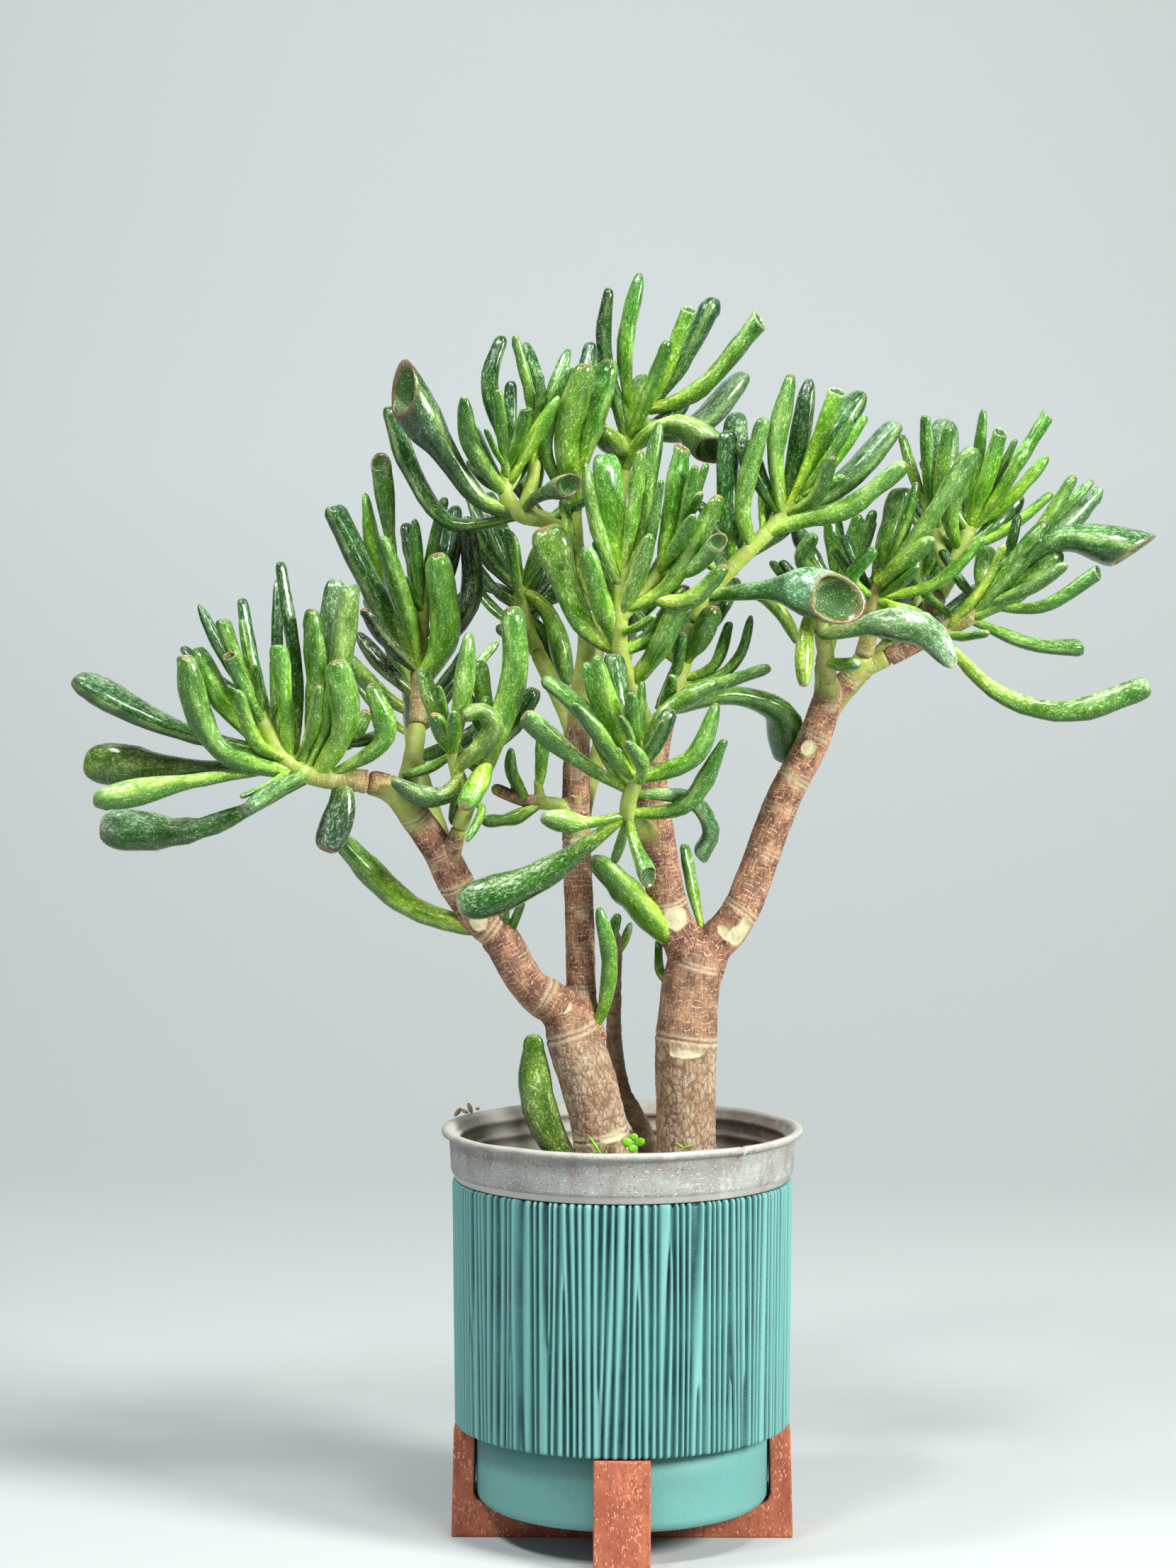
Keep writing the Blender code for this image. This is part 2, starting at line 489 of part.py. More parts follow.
COLOURS = {
    "leaf": (0.13, 0.27, 0.05),
    "wood": (0.30, 0.19, 0.12),
    "stand": (0.27, 0.085, 0.045),
    "planter": (0.12, 0.42, 0.37),
    "pot": (0.33, 0.34, 0.31),
    "soil": (0.08, 0.055, 0.04),
}
ROUGHNESS = {"leaf": 0.35, "wood": 0.85, "stand": 0.6, "planter": 0.5, "pot": 0.7, "soil": 0.95}


def clear_scene():
    for obj in list(bpy.data.objects):
        bpy.data.objects.remove(obj)


def material(name):
    found = bpy.data.materials.get(name)
    if found:
        return found
    made = bpy.data.materials.new(name)
    made.use_nodes = True
    shader = made.node_tree.nodes["Principled BSDF"]
    shader.inputs["Base Color"].default_value = (*COLOURS[name], 1.0)
    shader.inputs["Roughness"].default_value = ROUGHNESS[name]
    shader.inputs["Metallic"].default_value = 0.0
    return made


def add_object(name, bm, finish):
    """The bmesh, drawn in millimetres, as a named object in metres."""
    bmesh.ops.scale(bm, vec=(MM, MM, MM), verts=bm.verts)
    bmesh.ops.recalc_face_normals(bm, faces=bm.faces)
    mesh = bpy.data.meshes.new(name)
    bm.to_mesh(mesh)
    bm.free()
    mesh.materials.append(material(finish))
    obj = bpy.data.objects.new(name, mesh)
    bpy.context.scene.collection.objects.link(obj)
    return obj


def seen_at(x, z, y):
    """The point in space that a front reading (x, z) stands for at depth y."""
    away = 1 + y / EYE_BACK
    return Vector((x * away, y, EYE_UP + (z - EYE_UP) * away))


def spline(knots, count):
    """count points, evenly spaced, on the smooth curve through the knots (rows of numbers)."""
    knots = np.array(knots, float)
    before = 2 * knots[0] - knots[1]
    after = 2 * knots[-1] - knots[-2]
    padded = np.vstack([before, knots, after])
    fine = []
    for k in range(len(knots) - 1):
        a, b, c, d = padded[k : k + 4]
        for t in np.linspace(0, 1, 12, endpoint=False):
            square, cube = 2 * a - 5 * b + 4 * c - d, 3 * b - a - 3 * c + d
            fine.append(0.5 * (2 * b + (c - a) * t + square * t**2 + cube * t**3))
    fine = np.array(fine + [knots[-1]])
    steps = np.linalg.norm(np.diff(fine[:, :3], axis=0), axis=1)
    along = np.concatenate([[0], np.cumsum(steps)])
    wanted = np.linspace(0, along[-1], count)
    return np.column_stack([np.interp(wanted, along, fine[:, k]) for k in range(fine.shape[1])])


def length_of(points):
    return float(np.linalg.norm(np.diff(np.array(points)[:, :3], axis=0), axis=1).sum())


def stem_line(path):
    """Rows of x, y, z and radius along a stem."""
    knots = [(*seen_at(x, z, y), radius * (1 + y / EYE_BACK)) for x, z, radius, y in path]
    spacing = WOOD_SPACING if path[0][2] > THICK else STEM_SPACING
    return spline(knots, max(3, round(length_of(knots) / spacing) + 1))


class Stem:
    """A stem of one node, with the directions of its two end faces where it meets another node."""

    def __init__(self, knots, start_way=None):
        self.knots = knots
        self.line = stem_line(knots)
        self.start_way = start_way
        self.end_way = None


def hand_over(lower, upper):
    """Turns the two ends that meet to face each other, with a small gap between them."""
    way = upper.line[1, :3] - lower.line[-2, :3]
    way /= np.linalg.norm(way)
    upper.line[0, :3] += way * CLEAR
    lower.end_way = upper.start_way = Vector(way)


def tube(bm, line, halves, facing, sides, start_way=None, end_way=None, dent=0.0, tilt=0.0):
    """Bends a straight tube, extruded ring by ring, along the line. halves is (half width, half thickness)
    at each ring, the flat side looks along facing, and the end is pushed in by dent and tilted to it."""
    circle = bmesh.ops.create_circle(bm, segments=sides, radius=1.0)["verts"]
    edges = list({edge for vert in circle for edge in vert.link_edges})
    bmesh.ops.contextual_create(bm, geom=edges)
    for _ in range(len(line) - 1):
        grown = bmesh.ops.extrude_edge_only(bm, edges=edges)["geom"]
        edges = [part for part in grown if isinstance(part, bmesh.types.BMEdge)]
        ring = [part for part in grown if isinstance(part, bmesh.types.BMVert)]
        bmesh.ops.translate(bm, verts=ring, vec=(0, 0, 1))
    cap = bmesh.ops.contextual_create(bm, geom=edges)["faces"]
    bmesh.ops.poke(bm, faces=cap)
    bend_tube(bm.verts, line, halves, facing, start_way, end_way, dent, tilt)


def bend_tube(verts, line, halves, facing, start_way, end_way, dent, tilt):
    last = len(line) - 1
    frames = []
    for k in range(last + 1):
        way = Vector(line[min(k + 1, last)][:3]) - Vector(line[max(k - 1, 0)][:3])
        if k == 0 and start_way:
            way = start_way
        if k == last and end_way:
            way = end_way
        way = way.normalized()
        wide = way.cross(facing)
        wide = wide.normalized() if wide.length > 0.05 else way.orthogonal().normalized()
        frames.append((way, wide, wide.cross(way)))
    for vert in verts:
        k = round(vert.co.z)
        way, wide, thick = frames[k]
        across, up = vert.co.x * halves[k][0], vert.co.y * halves[k][1]
        place = Vector(line[k][:3]) + wide * across + thick * up
        if k == last:
            middle = vert.co.xy.length < 0.01
            place += way * (-dent if middle else -math.tan(tilt) * up)
        vert.co = place


def solid_tube(name, *args, **more):
    """A tube as an object of its own, ready to be joined to the others of its node."""
    bm = bmesh.new()
    tube(bm, *args, **more)
    bmesh.ops.triangulate(bm, faces=bm.faces)
    return add_object(name, bm, "leaf")


def stem_tube(stem):
    radii = [(row[3], row[3]) for row in stem.line]
    sides = WOOD_SIDES if stem.line[0][3] > THICK else STEM_SIDES
    return solid_tube("stem", stem.line, radii, FRONT, sides, stem.start_way, stem.end_way)


class Blade:
    """A leaf by its knots (x, z, y, share) as seen from the front. A knot takes its share of the lean."""

    def __init__(self, owner, knots, lean, width, end, face):
        self.owner = owner
        self.knots = knots
        self.lean = lean
        self.width = width
        self.end = end
        self.face = face

    def readings(self, count):
        """Rows of x, z, y, share and half width."""
        way = np.linspace(0, 1, count)
        start = LEAF_ROOT + (1 - LEAF_ROOT) * np.clip(way / 0.4, 0, 1) ** 0.8
        room = LONG_SWELL if self.end > SPOON * self.width else SWELL
        swell = np.clip(1 - (1 - way) / room, 0, 1)
        swell = swell * swell * (3 - 2 * swell)
        half = self.width / 2 * start * (1 - swell) + self.end / 2 * swell
        return np.column_stack([spline(self.knots, count), half])

    def line(self, count):
        return placed(self.readings(count), self.lean)

    def flatness(self, count):
        broad = max(self.end, self.width) >= BROAD
        return np.linspace(ROOT_THICK, BROAD_THICK if broad else SLENDER_THICK, count)


def placed(rows, lean):
    """Rows of x, y, z and half width in space, for rows of readings."""
    depth = rows[:, 2] + lean * rows[:, 3]
    away = 1 + depth / EYE_BACK
    height = EYE_UP + (rows[:, 1] - EYE_UP) * away
    return np.column_stack([rows[:, 0] * away, depth, height, rows[:, 4] * away])


def to_reading(point):
    """A point in space as the (x, z, y) that it is seen at."""
    away = 1 + point[1] / EYE_BACK
    return point[0] / away, EYE_UP + (point[2] - EYE_UP) / away, point[1]


def nearest(stems, reading):
    """The row of the stems that is seen nearest to a reading, clear of where they meet another node."""
    rows = np.vstack([stem.line[1 if stem.start_way else 0 :] for stem in stems])
    seen = np.array([to_reading(row) for row in rows])
    gaps = np.hypot(seen[:, 0] - reading[0], seen[:, 1] - reading[1])
    return rows[int(gaps.argmin())]


def read_blade(owner, stems, entry):
    """A leaf of the lists, from the middle of its stem to its tip."""
    x, z, depth = to_reading(nearest(stems, entry.root))
    seen = [(x, z)]
    if math.dist((x, z), entry.root) > 4:
        seen.append(entry.root)
    seen += entry.by
    reach = math.dist(seen[0], entry.tip)
    if not entry.by:
        along_x = (entry.tip[0] - x) / reach
        along_z = (entry.tip[1] - z) / reach
        sag = 0.06 * reach * along_x
        seen.append(((x + entry.tip[0]) / 2 + sag * along_z, (z + entry.tip[1]) / 2 - sag * along_x))
    seen.append(entry.tip)
    steps = [0.0]
    for a, b in zip(seen, seen[1:]):
        steps.append(steps[-1] + math.dist(a, b))
    share = [step / steps[-1] for step in steps]
    knots = [(x, z, depth, part) for (x, z), part in zip(seen, share)]
    return Blade(owner, knots, entry.lean, entry.width, entry.end, entry.face)


def filled_blades(owner, stems, filling, shy):
    """Leaves made by rule, in turning pairs up the stem, for the side that a front view doesn't show."""
    count, length = filling
    line = stems[0].line
    blades = []
    for k in range(count):
        rise = (k + 1) / (count + 1)
        row = line[round((0.25 + 0.7 * rise) * (len(line) - 1))]
        spread = math.radians(75)
        turn = math.pi / 2 + spread * math.sin(k * TURN) if shy else k * TURN
        slope = math.radians(LOW_SLOPE + SLOPE_RANGE * rise)
        reach = length * (1.0 - 0.25 * rise) * (1 + 0.14 * math.sin(5.1 * k + len(owner)))
        way = Vector((math.cos(turn) * math.cos(slope), math.sin(turn) * math.cos(slope), math.sin(slope)))
        root = Vector(row[:3])
        middle = root + way * reach * 0.5 - Vector((0, 0, 0.07 * reach))
        tip = root + way * reach
        width = 7.0 + 2.2 * math.sin(3.3 * k + 1)
        end = width * (1.15 if k % 3 == 0 else 0.85)
        knots = [(*to_reading(point), part) for point, part in ((root, 0.0), (middle, 0.5), (tip, 1.0))]
        blades.append(Blade(owner, knots, 0.0, width, end, None))
    return blades


def crossing_pairs(x, z, half, other_x, other_z, other_half):
    """Pairs of samples that are seen to touch. Only these can meet, as a leaf moves only in depth."""
    gaps = np.hypot(x[:, None] - other_x[None, :], z[:, None] - other_z[None, :])
    return np.nonzero(gaps < 1.08 * (half[:, None] + other_half[None, :] + LEAF_CLEAR))


def clear_blades(blades, stems):
    """Leans the leaves nearer or further until none crosses a leaf or a stem of another node."""
    count = 9
    rows = np.vstack([blade.readings(count) for blade in blades])
    leaf_of = np.repeat(np.arange(len(blades)), count)
    names = {name: k for k, name in enumerate(stems)}
    node = np.array([names[blade.owner] for blade in blades])[leaf_of]
    lean = np.array([blade.lean for blade in blades])
    share = rows[:, 3]
    weight = np.maximum(share, 0.25)

    first, second = crossing_pairs(rows[:, 0], rows[:, 1], rows[:, 4], rows[:, 0], rows[:, 1], rows[:, 4])
    apart = (node[first] != node[second]) | ((share[first] > 0.5) & (share[second] > 0.5))
    keep = (leaf_of[first] != leaf_of[second]) & apart
    first, second = first[keep], second[keep]

    fixed = np.vstack([stem.line for own in stems.values() for stem in own])
    fixed_node = np.repeat([names[name] for name, own in stems.items() for _ in own],
                           [len(stem.line) for own in stems.values() for stem in own])
    seen = np.array([to_reading(row) for row in fixed])
    mine, wood = crossing_pairs(rows[:, 0], rows[:, 1], rows[:, 4], seen[:, 0], seen[:, 1], fixed[:, 3])
    keep = (node[mine] != fixed_node[wood]) & (share[mine] > 0.12)
    mine, wood = mine[keep], wood[keep]

    for _ in range(CLEARING_ROUNDS):
        now = placed(rows, lean[leaf_of])
        gap = np.linalg.norm(now[first, :3] - now[second, :3], axis=1)
        close = np.maximum(now[first, 3] + now[second, 3] + LEAF_CLEAR - gap, 0)
        side = np.where(now[first, 1] - now[second, 1] + 1e-6 * (first - second) > 0, 1, -1)
        push = np.bincount(first, side * close * 0.6, len(rows))
        hits = np.bincount(first, close > 0, len(rows))
        gap = np.linalg.norm(now[mine, :3] - fixed[wood, :3], axis=1)
        close = np.maximum(now[mine, 3] + fixed[wood, 3] + LEAF_CLEAR - gap, 0)
        side = np.where(now[mine, 1] >= fixed[wood, 1], 1, -1)
        push += np.bincount(mine, side * close, len(rows))
        hits += np.bincount(mine, close > 0, len(rows))
        if not hits.any():
            break
        shared = np.maximum(np.bincount(leaf_of, hits * weight**2), 1e-6)
        step = np.bincount(leaf_of, push * weight) / shared
        lean += np.clip(step, -4, 4)
    for blade, settled in zip(blades, lean):
        blade.lean = settled


def blade_solid(blade):
    fine = blade.line(9)
    size = length_of(fine)
    bent = size / math.dist(fine[0][:3], fine[-1][:3])
    rings = 3 + (size > 32) + (size > 75) + (bent > 1.12)
    line = blade.line(rings)
    halves = [(row[3], row[3] * flat) for row, flat in zip(line, blade.flatness(rings))]
    facing = blade.face or inner_side(line)
    tilt = CUP_TILT if blade.end >= CUP_LEAST else POINT_TILT
    return solid_tube("leaf", line, halves, facing, LEAF_SIDES, dent=DENT * blade.end, tilt=tilt)


def inner_side(line):
    """The side of a leaf that looks up and back to its stem, where the cup at its end opens."""
    way = Vector(line[-1][:3]) - Vector(line[0][:3])
    inwards = Vector((-way.x, -way.y - 6, 0))
    return Vector((0, 0, 1)) * max(way.xy.length, 1.0) + inwards * 0.6


def is_closed(mesh):
    """Whether every edge has two faces."""
    bm = bmesh.new()
    bm.from_mesh(mesh)
    closed = all(len(edge.link_faces) == 2 for edge in bm.edges)
    bm.free()
    return closed


def slim(body, kept):
    """Takes out the many small triangles that the joins leave, fewer of them where a surface would open."""
    thin = body.modifiers.new("slim", "DECIMATE")
    thin.use_collapse_triangulate = True
    for ratio in np.arange(kept, 1.0, 0.02):
        thin.ratio = ratio
        depsgraph = bpy.context.evaluated_depsgraph_get()
        left = bpy.data.meshes.new_from_object(body.evaluated_get(depsgraph))
        if is_closed(left):
            break
    body.modifiers.clear()
    body.data = left


def join(name, pieces, finish, solver="EXACT", kept=1):
    """One closed body made of overlapping pieces. EXACT is slow on a shoot and leaves gaps in some."""
    group = bpy.data.collections.new(name + "_pieces")
    for piece in pieces[1:]:
        bpy.context.scene.collection.objects.unlink(piece)
        group.objects.link(piece)
    bpy.context.scene.collection.children.link(group)
    body = pieces[0]
    body.name = name
    body.data.name = name
    body.data.materials.clear()
    body.data.materials.append(material(finish))
    union = body.modifiers.new("joined", "BOOLEAN")
    union.operation = "UNION"
    union.operand_type = "COLLECTION"
    union.collection = group
    union.solver = solver
    depsgraph = bpy.context.evaluated_depsgraph_get()
    joined = bpy.data.meshes.new_from_object(body.evaluated_get(depsgraph))
    body.modifiers.clear()
    body.data = joined
    if kept < 1:
        slim(body, kept)
    for piece in list(group.objects):
        bpy.data.objects.remove(piece)
    bpy.data.collections.remove(group)
    bpy.context.view_layer.update()
    return body


def subtract(body, cutter):
    """Cuts the cutter out of the body and removes it."""
    cut = body.modifiers.new("cut", "BOOLEAN")
    cut.operation = "DIFFERENCE"
    cut.object = cutter
    cut.solver = "EXACT"
    depsgraph = bpy.context.evaluated_depsgraph_get()
    left = bpy.data.meshes.new_from_object(body.evaluated_get(depsgraph))
    body.modifiers.clear()
    body.data = left
    bpy.data.objects.remove(cutter)
    return body


def turned(name, profile, finish, sides):
    """A closed profile of (radius, z), turned about the pot's axis."""
    bm = bmesh.new()
    verts = [bm.verts.new((radius, 0, z)) for radius, z in profile]
    edges = [bm.edges.new((a, b)) for a, b in zip(verts, verts[1:] + verts[:1])]
    bmesh.ops.spin(bm, geom=verts + edges, axis=(0, 0, 1), cent=(0, 0, 0), angle=math.tau, steps=sides,
                   use_merge=True)
    bmesh.ops.remove_doubles(bm, verts=bm.verts, dist=0.001)
    return add_object(name, bm, finish)


def post(name, radius, bottom, top, x=0.0, y=0.0, sides=POT_SIDES):
    """A plain upright cylinder."""
    bm = bmesh.new()
    bmesh.ops.create_cone(bm, cap_ends=True, segments=sides, radius1=radius, radius2=radius,
                          depth=top - bottom)
    bmesh.ops.translate(bm, verts=bm.verts, vec=(x, y, (top + bottom) / 2))
    return add_object(name, bm, "soil")


def fluted_sleeve():
    """The ribbed outer wall: a many-sided prism with every second corner drawn in."""
    bm = bmesh.new()
    ring = bmesh.ops.create_circle(bm, cap_ends=True, segments=2 * RIBS, radius=PLANTER_R)["verts"]
    for vert in ring:
        corner = round(math.atan2(vert.co.y, vert.co.x) / (math.pi / RIBS))
        if corner % 2:
            vert.co *= (PLANTER_R - RIB_DEPTH) / PLANTER_R
    raised = bmesh.ops.extrude_face_region(bm, geom=list(bm.faces))["geom"]
    top = [part for part in raised if isinstance(part, bmesh.types.BMVert)]
    bmesh.ops.translate(bm, verts=ring, vec=(0, 0, SLEEVE_BASE))
    bmesh.ops.translate(bm, verts=top, vec=(0, 0, PLANTER_TOP))
    narrow = (PLANTER_R - SLEEVE_TAPER) / PLANTER_R
    bmesh.ops.scale(bm, vec=(narrow, narrow, 1), verts=ring)
    return add_object("sleeve", bm, "planter")


def build_planter():
    """Ribbed sleeve, smooth foot with a rounded edge, and the room for the pot inside."""
    base = BOARD_H + CLEAR
    edge = 4.5
    foot = turned("foot", [(0, base), (FOOT_R - edge, base), (FOOT_R - 0.3 * edge, base + 0.3 * edge),
                           (FOOT_R, base + edge), (FOOT_R, SLEEVE_BASE + 2), (0, SLEEVE_BASE + 2)],
                  "planter", 64)
    body = join("planter", [fluted_sleeve(), foot], "planter")
    body = subtract(body, post("room", PLANTER_R - RIB_DEPTH - WALL, SLEEVE_BASE + WALL, PLANTER_TOP + 5))
    return subtract(body, post("foot_room", FOOT_R - WALL, base + WALL, SLEEVE_BASE + 2 * WALL))


def build_grow_pot():
    """Nursery pot: rolled rim, collar that sits on the planter's rim, tapering body and drain holes."""
    ledge = PLANTER_TOP + CLEAR
    outer = [(0, POT_BASE), (POT_BASE_R, POT_BASE), (POT_NECK_R, ledge), (POT_COLLAR_R - 3.0, ledge),
             (POT_COLLAR_R - 2.0, ledge + 3.0), (POT_COLLAR_R, POT_TOP - 4.5),
             (POT_RIM_R - 0.8, POT_TOP - 3.8), (POT_RIM_R, POT_TOP - 2.2), (POT_RIM_R - 0.8, POT_TOP - 0.3)]
    inner = [(POT_RIM_R - 2.0, POT_TOP), (POT_COLLAR_R - POT_WALL, POT_TOP - 3.5),
             (POT_COLLAR_R - POT_WALL - 1.4, ledge + 12.5), (POT_COLLAR_R - POT_WALL - 3.2, ledge + 11.5),
             (POT_NECK_R - POT_WALL, ledge + 1.5), (POT_BASE_R - POT_WALL, POT_BASE + POT_WALL),
             (0, POT_BASE + POT_WALL)]
    pot = turned("grow_pot", outer + inner, "pot", POT_SIDES)
    for k in range(DRAINS):
        turn = math.tau * (k + 0.5) / DRAINS
        x, y = DRAIN_RING_R * math.cos(turn), DRAIN_RING_R * math.sin(turn)
        pot = subtract(pot, post("drain", DRAIN_R, POT_BASE - 2, POT_BASE + 2 * POT_WALL, x, y, 8))
    return pot


def build_soil(stem_feet):
    """The compost in the pot, slightly crowned, with a plain hole for each stem."""
    ledge = PLANTER_TOP + CLEAR
    floor = POT_BASE + POT_WALL + CLEAR
    slope = (POT_NECK_R - POT_BASE_R) / (ledge - POT_BASE)
    low = POT_BASE_R - POT_WALL - CLEAR - 0.2
    high = low + slope * (SOIL_TOP - 3 - floor)
    soil = turned("soil", [(0, floor), (low, floor), (high, SOIL_TOP - 3), (high - 12, SOIL_TOP - 0.5),
                           (0, SOIL_TOP + 0.5)], "soil", POT_SIDES)
    for x, y, z, radius in stem_feet:
        soil = subtract(soil, post("hole", radius + HOLE_ROOM, z - CLEAR, SOIL_TOP + 8, x, y, 12))
    return soil


def board(name, low, high):
    """One U-shaped board of the stand, drawn along X. At the crossing it fills only low to high."""
    bm = bmesh.new()
    inner = BOARD_END - BOARD_T - 0.5
    notch = BOARD_W / 2 + CLEAR
    corner = inner - INSIDE_CORNER
    step = high if low == 0 else low
    faces = []
    for side in (1, -1):
        upright = [(BOARD_END, 0), (BOARD_END - UPRIGHT_LEAN, UPRIGHT_TOP), (inner - 0.8, UPRIGHT_TOP),
                   (inner, BOARD_H + INSIDE_CORNER)]
        foot = [(BOARD_END, 0), (inner, BOARD_H + INSIDE_CORNER), (corner, BOARD_H), (corner, 0)]
        bar = [(corner, 0), (corner, BOARD_H), (notch, BOARD_H), (notch, step), (notch, 0)]
        faces += [[(side * x, z) for x, z in outline] for outline in (upright, foot, bar)]
    faces.append([(notch, low), (notch, high), (-notch, high), (-notch, low)])
    for outline in faces:
        bm.faces.new([bm.verts.new((x, -BOARD_W / 2, z)) for x, z in outline])
    bmesh.ops.remove_doubles(bm, verts=bm.verts, dist=0.001)
    bmesh.ops.recalc_face_normals(bm, faces=bm.faces)
    grown = bmesh.ops.extrude_face_region(bm, geom=list(bm.faces))["geom"]
    moved = [part for part in grown if isinstance(part, bmesh.types.BMVert)]
    bmesh.ops.translate(bm, verts=moved, vec=(0, BOARD_W, 0))
    return add_object(name, bm, "stand")


def build_stand():
    board("stand_board_wide", 0, (BOARD_H - CLEAR) / 2)
    deep = board("stand_board_deep", (BOARD_H + CLEAR) / 2, BOARD_H)
    deep.rotation_euler = (0, 0, math.pi / 2)


def all_stems():
    """Every node's stems, by the node's name."""
    stems = {"left_trunk": [Stem(path) for path in LEFT_WOOD],
             "right_trunk": [Stem(path) for path in RIGHT_WOOD],
             "back_stem": [Stem(BACK_STEM)]}
    for name, shoot in SHOOTS.items():
        lower, upper = Stem(shoot.path[: shoot.at + 1]), Stem(shoot.path[shoot.at :])
        carried = stems[shoot.carrier]
        for old in [stem for stem in carried if stem.knots[0] == shoot.path[0]]:
            lower.start_way = old.start_way
            lower.line[0] = old.line[0]
            carried.remove(old)
        carried.append(lower)
        hand_over(lower, upper)
        stems[name] = [upper] + [Stem(fork) for fork in shoot.forks]
    return stems


def all_blades(stems):
    """Every leaf, bent clear of the leaves and stems of the other nodes."""
    blades = []
    on_wood = {"left_trunk": LEFT_LEAVES, "right_trunk": RIGHT_LEAVES, "back_stem": BACK_LEAVES}
    for name, entries in on_wood.items():
        blades += [read_blade(name, stems[name], entry) for entry in entries]
    for name, shoot in SHOOTS.items():
        blades += [read_blade(name, stems[name], entry) for entry in shoot.leaves]
        blades += filled_blades(name, stems[name], shoot.filling, bool(shoot.leaves))
    clear_blades(blades, stems)
    return blades


def build_plant(stems):
    """The two trunks, the thin back stem and the leafy shoots, each one body with its leaves."""
    blades = all_blades(stems)
    for name, own in stems.items():
        pieces = [stem_tube(stem) for stem in own]
        pieces += [blade_solid(blade) for blade in blades if blade.owner == name]
        join(name, pieces, "leaf" if name in SHOOTS else "wood", "MANIFOLD", KEPT)


def main():
    clear_scene()
    build_stand()
    build_planter()
    build_grow_pot()
    stems = all_stems()
    build_soil([stems[name][0].line[0] for name in ("left_trunk", "right_trunk", "back_stem")])
    build_plant(stems)


main()
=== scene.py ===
# %% [markdown]
# # A potted finger-leaved jade plant
# Two old trunks stand in a grey nursery pot. The pot hangs by its collar in a ribbed teal planter, and the
# planter sits in a crossed wooden stand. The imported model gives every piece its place, so each piece made
# here is a finer version of one of its solids. Sizes are in millimetres, and MM brings them to metres.

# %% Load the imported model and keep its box
import math
import random
from collections import namedtuple

import bmesh
import bpy
import numpy as np
from mathutils import Matrix, Vector, noise


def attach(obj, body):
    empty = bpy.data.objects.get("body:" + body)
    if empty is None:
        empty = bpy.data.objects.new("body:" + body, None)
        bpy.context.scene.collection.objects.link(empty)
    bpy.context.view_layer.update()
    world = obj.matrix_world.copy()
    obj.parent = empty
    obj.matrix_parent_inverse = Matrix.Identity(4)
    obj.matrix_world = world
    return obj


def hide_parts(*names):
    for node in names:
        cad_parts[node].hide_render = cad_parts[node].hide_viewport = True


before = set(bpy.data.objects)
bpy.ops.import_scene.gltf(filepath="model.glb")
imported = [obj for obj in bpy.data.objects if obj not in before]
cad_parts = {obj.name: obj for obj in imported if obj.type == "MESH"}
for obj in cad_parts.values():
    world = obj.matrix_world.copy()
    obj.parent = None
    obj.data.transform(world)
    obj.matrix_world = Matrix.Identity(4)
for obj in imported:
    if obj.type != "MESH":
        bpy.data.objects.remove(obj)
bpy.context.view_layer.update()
MM = 0.001
print("packed nodes:", len(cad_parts))

# %% [markdown]
# The camera comes first. It stands 1.63 m in front of the pot's axis, a little above the middle of the crown,
# and looks down by three degrees, which is what the ellipses of the pot's rim and the planter's foot show.

# %% Camera
EYE_BACK = 1631.7
EYE_UP = 437.8
LOOK_DOWN = 2.94
LOOK_LEFT = 0.565
LENS = 80.07

camera = bpy.data.objects.new("camera", bpy.data.cameras.new("camera"))
camera.data.lens = LENS
camera.data.clip_end = 50
camera.location = (0, -EYE_BACK * MM, EYE_UP * MM)
camera.rotation_euler = (math.radians(90 - LOOK_DOWN), 0, math.radians(LOOK_LEFT))
bpy.context.scene.collection.objects.link(camera)
bpy.context.scene.camera = camera
print("camera at", tuple(round(value, 3) for value in camera.location))

# %% [markdown]
# The light in the room is soft and comes mostly from a window on the right, and a little from above. Two
# area lights high on the left reach the leaves in its shade, a dim one low on the left keeps the shaded sides
# cool, one above the sheet evens it out, and the world fills the rest.

# %% Lights


def soft_light(name, place, size, power, colour, target=(0, 0, 0.35)):
    lamp = bpy.data.lights.new(name, "AREA")
    lamp.shape = "DISK"
    lamp.size = size
    lamp.energy = power
    lamp.color = colour
    holder = bpy.data.objects.new(name, lamp)
    holder.location = place
    aim = Vector(target) - Vector(place)
    holder.rotation_euler = aim.to_track_quat("-Z", "Y").to_euler()
    bpy.context.scene.collection.objects.link(holder)


soft_light("window_right", (1.75, -1.25, 1.25), 0.75, 95, (1.0, 0.98, 0.94))
soft_light("window_top", (0.3, -0.8, 1.9), 0.35, 18, (0.98, 1.0, 0.98))
soft_light("sky_left", (-1.0, -0.5, 1.8), 0.35, 17, (0.95, 0.98, 1.0), (0, 0, 0.4))
soft_light("front_left", (-0.6, -1.2, 1.9), 0.3, 16, (1.0, 1.0, 0.92), (0, 0, 0.4))
soft_light("cool_left", (-1.4, -0.8, 0.4), 1.1, 3.0, (0.86, 0.66, 1.0))
soft_light("wall_wash", (-0.5, 1.0, 2.2), 1.6, 15, (0.92, 0.96, 1.0), (-0.3, 2.6, 0.7))
sky = bpy.data.worlds.new("room")
sky.use_nodes = True
sky.node_tree.nodes["Background"].inputs["Color"].default_value = (0.90, 0.95, 1.0, 1)
sky.node_tree.nodes["Background"].inputs["Strength"].default_value = 0.08
bpy.context.scene.world = sky
bpy.context.scene.view_settings.view_transform = "Standard"

# %% [markdown]
# Materials are networks of nodes. This small class adds a node, sets its inputs by name and hands back its
# output, so that each finish below reads from top to bottom like a recipe.

# %% A helper for finishes


